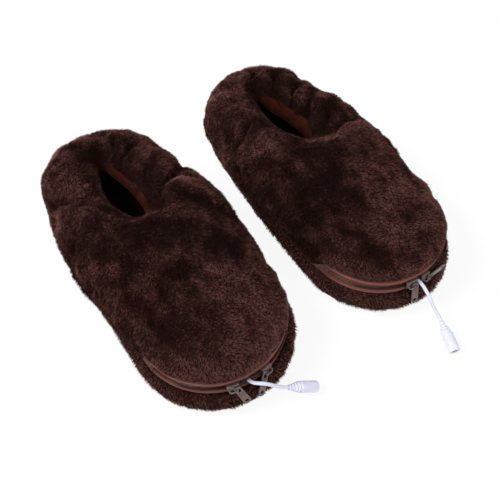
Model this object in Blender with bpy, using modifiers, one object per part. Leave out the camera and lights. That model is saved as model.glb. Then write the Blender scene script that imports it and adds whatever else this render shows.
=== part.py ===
"""Pair of heated plush slippers with a zipped toe and a short lead to a low-voltage socket.

Each slipper stands on Z = 0 with its toes towards -Y. All sizes are in metres.
"""

import math

import bmesh
import bpy
from mathutils import Matrix, Vector

# One slipper seen from above
LENGTH = 0.291
TOE_RADIUS = 0.070
HEEL_RADIUS = 0.049
FLANGE_WIDTH = 0.0074
TOE_FLANGE_WIDTH = 0.0099
PAIR_SPACING = 0.1678
PAIR_STAGGER = 0.0132

# Gap kept between touching pieces, and how far a cut runs past a face
GAP = 0.0003
OVERRUN = 0.001

# Sole, from the ground up
OUTSOLE_THICKNESS = 0.0020
OUTSOLE_INSET = 0.0105
SOLE_THICKNESS = 0.0182
SOLE_BULGE = 0.0030
COVER_THICKNESS = 0.0027
RIM_WIDTH = 0.0055
FOAM_RECESS = 0.0006
PAD_THICKNESS = 0.0015
WIRE_RADIUS = 0.0006
FOOTBED_THICKNESS = 0.0025

# Padded upper
UPPER_RISE = 0.0612
TOE_PADDING = 0.0206
HEEL_PADDING = 0.0186
SIDE_PADDING = 0.0126
LINING_THICKNESS = 0.0015
FOLD_DEPTH = 0.0100
FOLD_WIDTH = 0.0070

# Zip round the toe
ZIP_RADIUS = TOE_RADIUS - FLANGE_WIDTH
LOWER_TAPE_WIDTH = 0.0070
UPPER_TAPE_WIDTH = 0.0060
TAPE_SPLIT = 0.0015
TAPE_THICKNESS = 0.0006
TAPE_RECESS = 0.0012
TAPE_SEAM = 0.0006
COIL_WIDTH = 0.0019
COIL_DEPTH = 0.0020
TOOTH_PITCH = 0.0032
TOOTH_REACH = 0.0005
TOOTH_CLEARANCE = 0.00042
MOUTH_PARTING = 0.00145
STOP_LENGTH = 0.0030
COIL_FRONT_SHARE = 0.6
COIL_BACK_SHARE = 0.9
STOP_FRONT_SHARE = 0.7
ZIP_END_ANGLE = math.radians(81)

# Zip slider, seen from the front
SLIDER_LENGTH = 0.0096
SLIDER_WALL = 0.0007
SLIDER_PLATE = 0.0008
SLIDER_MOUTH_SHARE = 0.10
SLIDER_TAIL_SHARE = 0.55
SLOT_CLEARANCE = 0.0005
PLATE_CLEARANCE = 0.0003
NECK_WIDTH = 0.0022
NECK_LENGTH = 0.0030
BAIL_SPAN = 0.0074
BAIL_RISE = 0.0028
BAIL_THICKNESS = 0.0010

# Pull tab
PULL_LENGTH = 0.0210
PULL_TOP_WIDTH = 0.0056
PULL_BOTTOM_WIDTH = 0.0068
PULL_THICKNESS = 0.0010
EYE_WIDTH = 0.0030
EYE_LENGTH = 0.0045
EYE_BAR = 0.0014
PULL_HOLE_RADIUS = 0.0016
PULL_HINGE_HEIGHT = 0.0017

# Lead and its socket
CORD_RADIUS = 0.0015
JUNCTION_WIDTH = 0.0120
JUNCTION_DEPTH = 0.0070
JUNCTION_HEIGHT = 0.0042
CONNECTOR_LENGTH = 0.0270
CONNECTOR_RADIUS = 0.0048
CONNECTOR_NECK_RADIUS = 0.0024
RELIEF_LENGTH = 0.0120
RELIEF_GROOVES = 4
GROOVE_DEPTH = 0.0004
SOCKET_RADIUS = 0.0031
SOCKET_DEPTH = 0.0095
CONTACT_THICKNESS = 0.0004
PIN_RADIUS = 0.0010
PIN_RECESS = 0.0010
CONNECTOR_EDGE = 0.0006

# Heating pad and what is sewn to it
PAD_WIDTH = 0.0720
PAD_FRONT_INSET = 0.0500
PAD_BACK_INSET = 0.0850
PAD_CORNER = 0.0100
TONGUE_WIDTH = 0.0160
WIRE_RUNS = 8
WIRE_EDGE = 0.0060
WIRE_LEAD_SPREAD = 0.0024
THERMOSTAT_WIDTH = 0.0060
THERMOSTAT_LENGTH = 0.0100
THERMOSTAT_THICKNESS = 0.0013

# How finely outlines and arcs are drawn
TOE_STEPS = 13
SIDE_STEPS = 12
SOLE_SIDE_STEPS = 5
HEEL_STEPS = 10
ROUND_STEPS = 14
CORNER_STEPS = 3
TAPE_STEPS = 24
MERGE_DISTANCE = 0.00001

# Levels and places worked out from the sizes above
COVER_BOTTOM = OUTSOLE_THICKNESS + GAP
RIM_TOP = COVER_BOTTOM + SOLE_THICKNESS
FOAM_BOTTOM = COVER_BOTTOM + COVER_THICKNESS + GAP
FOAM_TOP = RIM_TOP - FOAM_RECESS
PAD_BOTTOM = FOAM_TOP + GAP
WIRE_LEVEL = PAD_BOTTOM + PAD_THICKNESS + GAP + WIRE_RADIUS
FOOTBED_BOTTOM = WIRE_LEVEL + WIRE_RADIUS + GAP
FOOTBED_TOP = FOOTBED_BOTTOM + FOOTBED_THICKNESS
ZIP_LEVEL = RIM_TOP + GAP + LOWER_TAPE_WIDTH + TAPE_SPLIT
UPPER_SIDE_BASE = RIM_TOP + GAP
UPPER_TOE_BASE = ZIP_LEVEL + TAPE_SPLIT + UPPER_TAPE_WIDTH + GAP
ZIP_CENTRE_Y = -LENGTH / 2 + TOE_FLANGE_WIDTH + ZIP_RADIUS
TAPE_FACE = ZIP_RADIUS - TAPE_RECESS
COIL_BACK = TAPE_FACE + GAP
COIL_FRONT = COIL_BACK + COIL_DEPTH
TOOTH_TIP = TOOTH_REACH - TOOTH_CLEARANCE / 2
CORD_PARTING = CORD_RADIUS + GAP + TOOTH_TIP
PLATE_FACE = COIL_FRONT + PLATE_CLEARANCE
SLIDER_FRONT = PLATE_FACE + SLIDER_PLATE
SLIDER_BACK = TAPE_FACE - TAPE_THICKNESS - SLOT_CLEARANCE - SLIDER_PLATE
MOUTH_HALF = COIL_WIDTH + MOUTH_PARTING + PLATE_CLEARANCE
SEWN_ANGLE = ZIP_END_ANGLE + (STOP_LENGTH / 2 + GAP) / ZIP_RADIUS
PAD_FRONT = -LENGTH / 2 + PAD_FRONT_INSET
PAD_BACK = LENGTH / 2 - PAD_BACK_INSET

# Padded upper: stations from the outer bottom edge over the collar to the inner bottom edge.
# Each row holds toe tip and heel tip as shares of LENGTH, toe radius, heel radius and side
# bulge as shares of TOE_RADIUS, and the levels at toe, side and heel as shares of UPPER_RISE.
UPPER_STATION_SHARES = (
    (-0.466, 0.500, 0.920, 0.850, 0.165, 0.430, 0.420, 0.340),
    (-0.402, 0.481, 0.800, 0.790, 0.120, 0.650, 0.780, 0.720),
    (-0.210, 0.428, 0.550, 0.610, 0.060, 0.870, 0.980, 0.930),
    (-0.025, 0.380, 0.290, 0.380, 0.030, 1.000, 1.015, 0.970),
    (0.050, 0.336, 0.085, 0.115, 0.115, 0.900, 0.850, 0.830),
    (0.062, 0.326, 0.070, 0.095, 0.090, 0.700, 0.650, 0.630),
    (-0.155, 0.366, 0.430, 0.430, 0.040, 0.560, 0.460, 0.430),
    (-0.388, 0.408, 0.700, 0.600, 0.020, 0.345, 0.215, 0.185),
)
STATION_STEPS = 3

# Places counted in stations: where the lining starts and ends, and where folds fade in and out
LINING_START = 5.0
LINING_END = 7.5
FOLD_START = 1.2
FOLD_END = 4.4

# Sole cover from its underside to the top of its rim: inset as a share of FLANGE_WIDTH,
# and level as a share of SOLE_THICKNESS.
SOLE_PROFILE_SHARES = (
    (1.10, 0.00),
    (0.30, 0.17),
    (0.00, 0.47),
    (0.25, 0.76),
    (0.62, 0.93),
    (1.00, 1.00),
)

# Side of each slipper, where its sliders and its lead stand on the zip, how its pulls lie, and
# the folds in its collar. A fold is a line seen from above, from X and Y to X and Y as shares of
# TOE_RADIUS and LENGTH, with its depth as a share of FOLD_DEPTH.
SLIPPERS = {
    "left": {
        "side": -1,
        "cord_angle": math.radians(-7.4),
        "sliders": {
            "slider_left": {"angle": math.radians(-19.5), "mouth": 1},
            "slider_right": {"angle": math.radians(7.5), "mouth": -1},
        },
        "pulls": {
            "slider_left": {"lean": math.radians(19), "swing": math.radians(22), "lies_back": False},
            "slider_right": {"lean": math.radians(25), "swing": math.radians(-36), "lies_back": False},
        },
        "route": (
            (-0.0062, -0.1226, 0.0222),
            (-0.0062, -0.1240, 0.0222),
            (-0.0063, -0.1256, 0.0222),
            (-0.0075, -0.1305, 0.0278),
            (-0.0082, -0.1350, 0.0293),
            (-0.0060, -0.1400, 0.0295),
            (-0.0007, -0.1443, 0.0290),
            (0.0042, -0.1480, 0.0264),
            (0.0088, -0.1510, 0.0222),
            (0.0132, -0.1533, 0.0190),
            (0.0149, -0.1540, 0.0180),
            (0.0165, -0.1546, 0.0170),
        ),
        "connector_tip": (0.0369, -0.1625, 0.0050),
        "fold_shares": (
            (0.09, 0.068, 0.72, 0.164, 1.00),
            (0.04, 0.052, -0.24, 0.064, 0.50),
            (0.20, 0.278, 0.44, 0.332, 0.75),
            (0.20, 0.330, 0.31, 0.357, 0.45),
            (-0.46, 0.204, -0.74, 0.292, 0.60),
            (0.04, 0.385, 0.20, 0.440, 0.35),
            (0.35, 0.022, 0.70, -0.045, 0.35),
        ),
    },
    "right": {
        "side": 1,
        "cord_angle": math.radians(-5.8),
        "sliders": {
            "slider_left": {"angle": math.radians(-12.8), "mouth": 1},
            "slider_right": {"angle": math.radians(1.0), "mouth": -1},
        },
        "pulls": {
            "slider_left": {"lean": math.radians(19), "swing": math.radians(-3), "lies_back": False},
            "slider_right": {"lean": 0, "swing": math.radians(90), "lies_back": True},
        },
        "route": (
            (-0.0058, -0.1226, 0.0222),
            (-0.0058, -0.1240, 0.0222),
            (-0.0058, -0.1256, 0.0222),
            (-0.0062, -0.1308, 0.0278),
            (-0.0063, -0.1365, 0.0293),
            (-0.0065, -0.1430, 0.0286),
            (-0.0073, -0.1518, 0.0240),
            (-0.0068, -0.1590, 0.0160),
            (-0.0058, -0.1640, 0.0110),
            (-0.0060, -0.1672, 0.0088),
            (-0.0067, -0.1692, 0.0084),
            (-0.0074, -0.1711, 0.0082),
        ),
        "connector_tip": (-0.0168, -0.1950, 0.0053),
        "fold_shares": (
            (0.11, 0.058, 0.79, 0.057, 1.00),
            (0.05, 0.048, -0.25, 0.087, 0.50),
            (0.18, 0.210, 0.33, 0.244, 0.65),
            (0.18, 0.285, 0.30, 0.326, 0.55),
            (0.03, 0.347, 0.19, 0.405, 0.65),
            (-0.57, 0.226, -0.83, 0.192, 0.60),
            (-0.14, 0.358, -0.32, 0.412, 0.45),
            (0.64, -0.006, 0.78, -0.120, 0.35),
        ),
    },
}
CORD_POINT_STEPS = 2

MATERIALS = {
    "outsole_cloth": ((0.035, 0.025, 0.022, 1), 0.95, 0),
    "plush": ((0.055, 0.026, 0.020, 1), 0.95, 0),
    "foam": ((0.75, 0.72, 0.62, 1), 0.9, 0),
    "felt": ((0.30, 0.28, 0.26, 1), 0.95, 0),
    "lining": ((0.09, 0.032, 0.018, 1), 0.8, 0),
    "heating_wire": ((0.45, 0.08, 0.05, 1), 0.4, 0),
    "black_plastic": ((0.03, 0.03, 0.03, 1), 0.4, 0),
    "zip_tape": ((0.16, 0.075, 0.052, 1), 0.85, 0),
    "zip_coil": ((0.11, 0.055, 0.042, 1), 0.5, 0),
    "zip_metal": ((0.22, 0.15, 0.14, 1), 0.38, 0.8),
    "white_plastic": ((0.82, 0.83, 0.90, 1), 0.4, 0),
    "contact_metal": ((0.75, 0.74, 0.70, 1), 0.25, 1),
}


def blend(start, end, share):
    return start + (end - start) * share


def smooth(share):
    share = min(max(share, 0), 1)
    return share * share * (3 - 2 * share)


def make_material(name):
    colour, roughness, metallic = MATERIALS[name]
    material = bpy.data.materials.new(name)
    material.use_nodes = True
    shader = material.node_tree.nodes["Principled BSDF"]
    shader.inputs["Base Color"].default_value = colour
    shader.inputs["Roughness"].default_value = roughness
    shader.inputs["Metallic"].default_value = metallic
    material.diffuse_color = colour
    return material


def mesh_object(name, shape, material, parent):
    """Turn a bmesh into a named object under its parent."""
    mesh = bpy.data.meshes.new(name)
    bmesh.ops.recalc_face_normals(shape, faces=shape.faces)
    if shape.calc_volume(signed=True) < 0:
        bmesh.ops.reverse_faces(shape, faces=shape.faces)
    shape.to_mesh(mesh)
    shape.free()
    item = bpy.data.objects.new(name, mesh)
    parts.objects.link(item)
    item.parent = parent
    mesh.materials.append(materials[material])
    mesh.shade_smooth()
    mesh.set_sharp_from_angle(angle=math.radians(40))
    return item


# Outlines seen from above
def ring(toe_tip, heel_tip, toe_radius, heel_radius, bulge=0, side_steps=SIDE_STEPS):
    """Outline of a toe circle and a heel circle joined by sides that may bulge."""
    toe_y = toe_tip + toe_radius
    heel_y = heel_tip - heel_radius
    sweep = math.pi / 2 + math.asin((toe_radius - heel_radius) / (heel_y - toe_y))
    toe = []
    for step in range(TOE_STEPS + 1):
        angle = blend(-sweep, sweep, step / TOE_STEPS)
        toe.append(Vector((toe_radius * math.sin(angle), toe_y - toe_radius * math.cos(angle))))
    heel = []
    for step in range(HEEL_STEPS + 1):
        angle = blend(sweep, 2 * math.pi - sweep, step / HEEL_STEPS)
        heel.append(Vector((heel_radius * math.sin(angle), heel_y - heel_radius * math.cos(angle))))
    side = []
    for step in range(1, side_steps):
        share = step / side_steps
        outward = Vector((math.sin(sweep), -math.cos(sweep)))
        side.append(toe[-1].lerp(heel[0], share) + outward * bulge * math.sin(math.pi * share))
    mirrored = [Vector((-point.x, point.y)) for point in reversed(side)]
    return toe + side + heel + mirrored


def levels(toe, side, heel):
    """Level of each outline point, from the toe's level along the sides to the heel's."""
    along = []
    for step in range(1, SIDE_STEPS):
        share = step / SIDE_STEPS
        if share < 1 / 2:
            along.append(blend(toe, side, smooth(2 * share)))
        else:
            along.append(blend(side, heel, smooth(2 * share - 1)))
    return [toe] * (TOE_STEPS + 1) + along + [heel] * (HEEL_STEPS + 1) + along[::-1]


def raised(outline, heights):
    if not isinstance(heights, list):
        heights = [heights] * len(outline)
    return [Vector((point.x, point.y, height)) for point, height in zip(outline, heights)]


def sole_ring(inset):
    """Outline of the sole, drawn in by an inset."""
    half = LENGTH / 2
    toe_radius = TOE_RADIUS - inset
    heel_radius = HEEL_RADIUS - inset
    return ring(-half + inset, half - inset, toe_radius, heel_radius, SOLE_BULGE, SOLE_SIDE_STEPS)


def base_levels():
    """The upper's bottom edge: over the zip round the toe, down on the rim elsewhere."""
    over_zip = [UPPER_TOE_BASE] * (TOE_STEPS - 1)
    on_rim = [UPPER_SIDE_BASE] * (len(outer_base()) - TOE_STEPS)
    return [UPPER_SIDE_BASE] + over_zip + on_rim


def outer_base():
    half = LENGTH / 2
    return ring(-half + TOE_FLANGE_WIDTH, half - FLANGE_WIDTH, ZIP_RADIUS, HEEL_RADIUS - FLANGE_WIDTH)


def inner_base(inset=0):
    half = LENGTH / 2
    toe_tip = -half + TOE_FLANGE_WIDTH + TOE_PADDING + inset
    heel_tip = half - FLANGE_WIDTH - HEEL_PADDING - inset
    toe_radius = ZIP_RADIUS - SIDE_PADDING - inset
    heel_radius = HEEL_RADIUS - FLANGE_WIDTH - SIDE_PADDING / 2 - inset
    return ring(toe_tip, heel_tip, toe_radius, heel_radius)


def station(shares, inset=0):
    toe_tip, heel_tip, toe_radius, heel_radius, bulge, toe, side, heel = shares
    outline = ring(
        toe_tip * LENGTH + inset,
        heel_tip * LENGTH - inset,
        toe_radius * TOE_RADIUS - inset,
        heel_radius * TOE_RADIUS - inset,
        bulge * TOE_RADIUS,
    )
    heights = levels(*(RIM_TOP + share * UPPER_RISE - inset for share in (toe, side, heel)))
    return raised(outline, heights)


def upper_stations(inset=0):
    rows = [raised(outer_base(), base_levels())]
    rows += [station(shares, inset) for shares in UPPER_STATION_SHARES]
    rows.append(raised(inner_base(inset), base_levels()))
    return rows


def between_stations(rows, place):
    """Ring at a place along the stations, on a smooth curve through them."""
    first = min(int(place), len(rows) - 2)
    share = place - first
    picked = [rows[min(max(first + offset, 0), len(rows) - 1)] for offset in (-1, 0, 1, 2)]
    points = []
    for before, start, end, after in zip(*picked):
        leaving = (end - before) / 2
        arriving = (after - start) / 2
        bend = 3 * (end - start) - 2 * leaving - arriving
        close = 2 * (start - end) + leaving + arriving
        points.append(start + leaving * share + bend * share ** 2 + close * share ** 3)
    return points


# Solids
def loft(name, rings, material, parent, closed=False):
    """Skin a row of matching rings, closed on itself or capped at both ends."""
    shape = bmesh.new()
    loops = [[shape.verts.new(point) for point in points] for points in rings]
    pairs = list(zip(loops, loops[1:]))
    if closed:
        pairs.append((loops[-1], loops[0]))
    else:
        shape.faces.new(loops[0])
        shape.faces.new(loops[-1])
    for first, second in pairs:
        for index in range(len(first)):
            shape.faces.new((first[index - 1], first[index], second[index], second[index - 1]))
    return mesh_object(name, shape, material, parent)


def slab(name, outline, bottom, top, material, parent):
    """Flat outline extruded upwards."""
    shape = bmesh.new()
    base = shape.faces.new([shape.verts.new((x, y, bottom)) for x, y in outline])
    extruded = bmesh.ops.extrude_face_region(shape, geom=[base])["geom"]
    moved = [item for item in extruded if isinstance(item, bmesh.types.BMVert)]
    bmesh.ops.translate(shape, verts=moved, vec=Vector((0, 0, top - bottom)))
    return mesh_object(name, shape, material, parent)


def rounded_rectangle(width, length, radius, centre_y=0):
    """Outline of a rectangle with round corners, centred on X = 0."""
    points = []
    for corner, (side, end) in enumerate(((1, 1), (-1, 1), (-1, -1), (1, -1))):
        for step in range(CORNER_STEPS + 1):
            angle = math.pi / 2 * (corner + step / CORNER_STEPS)
            x = side * (width / 2 - radius) + radius * math.cos(angle)
            y = centre_y + end * (length / 2 - radius) + radius * math.sin(angle)
            points.append((x, y))
    return points


def tube(name, points, radius, sides_level, material, parent):
    """Round tube along a row of points."""
    curve = bpy.data.curves.new(name, "CURVE")
    curve.dimensions = "3D"
    curve.bevel_depth = radius
    curve.bevel_resolution = sides_level
    curve.use_fill_caps = True
    curve.materials.append(materials[material])
    spline = curve.splines.new("POLY")
    spline.points.add(len(points) - 1)
    for place, point in zip(spline.points, points):
        place.co = (*point, 1)
    item = bpy.data.objects.new(name, curve)
    parts.objects.link(item)
    item.parent = parent
    return item


def turned(name, profile, material, parent):
    """Solid of revolution about Z from a profile of radius and height."""
    mesh = bpy.data.meshes.new(name)
    points = [(radius, 0, height) for radius, height in profile]
    mesh.from_pydata(points, [(index, index + 1) for index in range(len(points) - 1)], [])
    if profile[0][0] > 0:
        closing = bmesh.new()
        closing.from_mesh(mesh)
        closing.verts.ensure_lookup_table()
        closing.edges.new((closing.verts[-1], closing.verts[0]))
        closing.to_mesh(mesh)
        closing.free()
    mesh.materials.append(materials[material])
    item = bpy.data.objects.new(name, mesh)
    parts.objects.link(item)
    item.parent = parent
    screw = item.modifiers.new("Screw", "SCREW")
    screw.steps = ROUND_STEPS
    screw.render_steps = ROUND_STEPS
    screw.use_merge_vertices = True
    screw.merge_threshold = MERGE_DISTANCE
    return item


def combine(item, other, operation):
    """Join or cut one mesh object with another, which is used up."""
    modifier = item.modifiers.new(operation.title(), "BOOLEAN")
    modifier.object = other
    modifier.operation = operation
    modifier.solver = "EXACT"
    graph = bpy.context.evaluated_depsgraph_get()
    result = bpy.data.meshes.new_from_object(item.evaluated_get(graph))
    item.modifiers.clear()
    item.data = result
    bpy.data.objects.remove(other)


# Sole and what lies on it
def build_sole(side, frame):
    slab(side + "_outsole", sole_ring(OUTSOLE_INSET), 0, OUTSOLE_THICKNESS, "outsole_cloth", frame)
    profile = []
    for inset_share, level_share in SOLE_PROFILE_SHARES:
        level = COVER_BOTTOM + level_share * SOLE_THICKNESS
        profile.append(raised(sole_ring(inset_share * FLANGE_WIDTH), level))
    inner_inset = FLANGE_WIDTH + RIM_WIDTH
    profile.append(raised(sole_ring(inner_inset), RIM_TOP))
    profile.append(raised(sole_ring(inner_inset), FOAM_BOTTOM - GAP))
    loft(side + "_sole_cover", profile, "plush", frame)
    slab(side + "_sole_foam", sole_ring(inner_inset + GAP), FOAM_BOTTOM, FOAM_TOP, "foam", frame)
    slab(side + "_footbed", inner_base(GAP), FOOTBED_BOTTOM, FOOTBED_TOP, "felt", frame)


def junction_back():
    """Where the lead's junction begins, just ahead of the footbed."""
    return -LENGTH / 2 + TOE_FLANGE_WIDTH + TOE_PADDING


def build_heating(side, frame, lead_x):
    tongue_tip = junction_back()
    outline = rounded_rectangle(PAD_WIDTH, PAD_BACK - PAD_FRONT, PAD_CORNER, (PAD_BACK + PAD_FRONT) / 2)
    split = 3 * (CORNER_STEPS + 1)
    tongue = [
        (lead_x - TONGUE_WIDTH / 2, PAD_FRONT),
        (lead_x - TONGUE_WIDTH / 2, tongue_tip),
        (lead_x + TONGUE_WIDTH / 2, tongue_tip),
        (lead_x + TONGUE_WIDTH / 2, PAD_FRONT),
    ]
    outline = outline[:split] + tongue + outline[split:]
    slab(side + "_heating_pad", outline, PAD_BOTTOM, PAD_BOTTOM + PAD_THICKNESS, "felt", frame)

    # The wire leaves the junction, winds over the pad in even runs and comes back beside itself
    pitch = (PAD_WIDTH - 2 * WIRE_EDGE) / (WIRE_RUNS - 1)
    first_run = -PAD_WIDTH / 2 + WIRE_EDGE
    near = PAD_FRONT + 2 * WIRE_EDGE
    far = PAD_BACK - WIRE_EDGE
    wire = [(lead_x - WIRE_LEAD_SPREAD, tongue_tip), (lead_x - WIRE_LEAD_SPREAD, PAD_FRONT + WIRE_EDGE / 2)]
    wire.append((first_run, PAD_FRONT + WIRE_EDGE))
    for run in range(WIRE_RUNS):
        x = first_run + run * pitch
        ends = (near, far) if run % 2 == 0 else (far, near)
        start = ends[0] if run else PAD_FRONT + 2 * WIRE_EDGE
        wire.append((x, start))
        wire.append((x, ends[1]))
        if run < WIRE_RUNS - 1:
            turn = pitch / 2 if run % 2 == 0 else -pitch / 2
            wire.append((x + pitch / 2, ends[1] + turn))
    wire.append((-first_run, PAD_FRONT + WIRE_EDGE))
    wire.append((lead_x + WIRE_LEAD_SPREAD, PAD_FRONT + WIRE_EDGE / 2))
    wire.append((lead_x + WIRE_LEAD_SPREAD, tongue_tip))
    path = [(x, y, WIRE_LEVEL) for x, y in wire]
    tube(side + "_heating_wire", path, WIRE_RADIUS, 0, "heating_wire", frame)

    cutout = rounded_rectangle(THERMOSTAT_WIDTH, THERMOSTAT_LENGTH, WIRE_RADIUS, (PAD_BACK + PAD_FRONT) / 2)
    base = PAD_BOTTOM + PAD_THICKNESS + GAP
    slab(side + "_thermostat", cutout, base, base + THERMOSTAT_THICKNESS, "black_plastic", frame)

    centre_y = tongue_tip - GAP - JUNCTION_DEPTH / 2
    block = rounded_rectangle(JUNCTION_WIDTH, JUNCTION_DEPTH, WIRE_RADIUS, centre_y)
    block = [(x + lead_x, y) for x, y in block]
    top = PAD_BOTTOM + JUNCTION_HEIGHT
    slab(side + "_lead_junction", block, PAD_BOTTOM, top, "black_plastic", frame)


# Upper
def fold_depth(point, place, folds):
    """How far the folds press in a point of the padding, at its place along the stations."""
    seen = Vector((point.x, point.y))
    depth_share = 0
    for start_x, start_y, end_x, end_y, fold_share in folds:
        start = Vector((start_x * TOE_RADIUS, start_y * LENGTH))
        line = Vector((end_x * TOE_RADIUS, end_y * LENGTH)) - start
        along = (seen - start).dot(line) / line.length_squared
        nearest = start + line * min(max(along, 0), 1)
        depth_share += fold_share * math.exp(-((seen - nearest).length / FOLD_WIDTH) ** 2)
    fade = smooth(place - FOLD_START) * smooth(FOLD_END - place)
    return FOLD_DEPTH * min(depth_share, 1) * fade


def folded(rings, folds):
    """Press the folds into the padding, square to its surface."""
    pressed = [rings[0]]
    for index in range(1, len(rings) - 1):
        place = index / STATION_STEPS
        current = rings[index]
        points = []
        for step, point in enumerate(current):
            onward = current[(step + 1) % len(current)] - current[step - 1]
            upward = rings[index + 1][step] - rings[index - 1][step]
            outward = onward.cross(upward).normalized()
            points.append(point - outward * fold_depth(point, place, folds))
        pressed.append(points)
    return pressed + [rings[-1]]


def build_upper(side, frame, folds):
    rows = upper_stations()
    count = (len(rows) - 1) * STATION_STEPS
    rings = [between_stations(rows, step / STATION_STEPS) for step in range(count + 1)]
    loft(side + "_upper", folded(rings, folds), "plush", frame, closed=True)

    # The lining hangs in the opening and stands on the footbed's edge
    steps = int((LINING_END - LINING_START) * STATION_STEPS)
    skins = []
    for inset in (GAP, GAP + LINING_THICKNESS):
        rows = upper_stations(inset)
        skin = [between_stations(rows, LINING_START + step / STATION_STEPS) for step in range(steps + 1)]
        skin.append(raised(inner_base(inset), FOOTBED_TOP + GAP))
        skins.append(skin)
    loft(side + "_lining", skins[0] + skins[1][::-1], "lining", frame, closed=True)


# Zip
def on_arc(radius, angle, level):
    return Vector((radius * math.sin(angle), ZIP_CENTRE_Y - radius * math.cos(angle), level))


def parting(settings, angle):
    """How far each row of the zip is drawn away from the middle at an angle."""
    half = SLIDER_LENGTH / 2 / ZIP_RADIUS
    lead = settings["cord_angle"]
    for slider in settings["sliders"].values():
        mouth = slider["angle"] + slider["mouth"] * half
        if (angle - lead) * (mouth - lead) < 0:
            continue
        if abs(angle - lead) <= abs(mouth - lead):
            share = abs(angle - lead) / abs(mouth - lead)
            return blend(CORD_PARTING, MOUTH_PARTING, smooth(share))
        beyond = abs(angle - mouth) / (2 * half)
        return MOUTH_PARTING * (1 - smooth(beyond))
    return CORD_PARTING


def drop_angles():
    """Angles round the toe between which the upper's bottom edge comes down to the rim."""
    ends = outer_base()[TOE_STEPS - 1:TOE_STEPS + 1]
    return [math.atan2(point.x, ZIP_CENTRE_Y - point.y) for point in ends]


def base_level_at(angle):
    """Level of the upper's bottom edge at an angle round the toe."""
    start, end = drop_angles()
    share = (abs(angle) - start) / (end - start)
    return blend(UPPER_TOE_BASE, UPPER_SIDE_BASE, min(max(share, 0), 1))


def angle_under(level):
    """Angle round the toe at which the upper's bottom edge is down to a level."""
    start, end = drop_angles()
    return blend(start, end, (UPPER_TOE_BASE - level) / (UPPER_TOE_BASE - UPPER_SIDE_BASE))


def strip(name, sections, material, frame):
    """Band along the toe arc with a rectangular section at each place."""
    rings = []
    for angle, low, high in sections:
        corners = ((TAPE_FACE, low), (TAPE_FACE, high))
        back = ((TAPE_FACE - TAPE_THICKNESS, high), (TAPE_FACE - TAPE_THICKNESS, low))
        rings.append([on_arc(radius, angle, level) for radius, level in corners + back])
    loft(name, rings, material, frame)


def tape_angles(settings, limit):
    """Even steps along the tape, with finer ones where the rows part and where they are sewn."""
    angles = {blend(-SEWN_ANGLE, SEWN_ANGLE, step / TAPE_STEPS) for step in range(TAPE_STEPS + 1)}
    for slider in settings["sliders"].values():
        half = SLIDER_LENGTH / 2 / ZIP_RADIUS
        angles |= {slider["angle"] + share * half for share in (-1, 0, 1)}
    angles.add(settings["cord_angle"])
    for way in (-1, 1):
        angles |= {way * (SEWN_ANGLE + GAP / ZIP_RADIUS), way * limit}
    return sorted(angles)


def lower_tape_top(settings, angle):
    """Top of the lower tape: under its row of teeth, and up to the other tape past the stops."""
    if abs(angle) <= SEWN_ANGLE:
        return ZIP_LEVEL - TAPE_SPLIT - parting(settings, angle)
    return min(ZIP_LEVEL + TAPE_SPLIT - GAP, base_level_at(angle) - TAPE_SEAM)


def build_tapes(side, frame, settings):
    upper = []
    for angle in tape_angles(settings, angle_under(ZIP_LEVEL + TAPE_SPLIT + 2 * TAPE_SEAM)):
        low = ZIP_LEVEL + TAPE_SPLIT + parting(settings, angle)
        upper.append((angle, low, base_level_at(angle) - TAPE_SEAM))
    strip(side + "_zip_tape_upper", upper, "zip_tape", frame)
    lower = []
    for angle in tape_angles(settings, angle_under(RIM_TOP + GAP + 2 * TAPE_SEAM)):
        lower.append((angle, RIM_TOP + GAP, lower_tape_top(settings, angle)))
    strip(side + "_zip_tape_lower", lower, "zip_tape", frame)


def build_coils(side, frame, settings):
    """Two rows of interlocking teeth, drawn apart where the lead comes out."""
    limit = ZIP_END_ANGLE - (STOP_LENGTH / 2 + GAP) / ZIP_RADIUS
    count = 2 * round(limit * ZIP_RADIUS / TOOTH_PITCH) * 2
    middle = (COIL_BACK + COIL_FRONT) / 2
    for row, way in (("upper", 1), ("lower", -1)):
        rings = []
        for step in range(count + 1):
            angle = blend(-limit, limit, step / count)
            zigzag = TOOTH_REACH * (1 if step % 2 else -1)
            edge = zigzag + way * TOOTH_CLEARANCE / 2
            drawn = way * parting(settings, angle)
            outer = way * COIL_WIDTH
            section = (
                (middle, edge),
                (COIL_FRONT, outer * COIL_FRONT_SHARE),
                (middle, outer),
                (COIL_BACK, outer * COIL_BACK_SHARE),
            )
            rings.append([on_arc(radius, angle, ZIP_LEVEL + height + drawn) for radius, height in section])
        loft(side + "_zip_coil_" + row, rings, "zip_coil", frame)


def build_stops(side, frame):
    half_angle = STOP_LENGTH / 2 / ZIP_RADIUS
    half_height = COIL_WIDTH + GAP
    for name, way in (("left", -1), ("right", 1)):
        rings = []
        for angle in (ZIP_END_ANGLE - half_angle, ZIP_END_ANGLE + half_angle):
            corners = (
                (COIL_BACK, -half_height),
                (COIL_FRONT, -half_height * STOP_FRONT_SHARE),
                (COIL_FRONT, half_height * STOP_FRONT_SHARE),
                (COIL_BACK, half_height),
            )
            rings.append([on_arc(radius, way * angle, ZIP_LEVEL + height) for radius, height in corners])
        loft(side + "_zip_stop_" + name, rings, "zip_metal", frame)


def prism(name, outline, near, far, parent):
    """Outline of X and Z extruded outwards, along -Y, from one depth to another."""
    shape = bmesh.new()
    base = shape.faces.new([shape.verts.new((x, -near, z)) for x, z in outline])
    extruded = bmesh.ops.extrude_face_region(shape, geom=[base])["geom"]
    moved = [item for item in extruded if isinstance(item, bmesh.types.BMVert)]
    bmesh.ops.translate(shape, verts=moved, vec=Vector((0, near - far, 0)))
    return mesh_object(name, shape, "zip_metal", parent)


def mirrored_outline(half_outline):
    return list(half_outline) + [(x, -z) for x, z in reversed(half_outline)]


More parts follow.
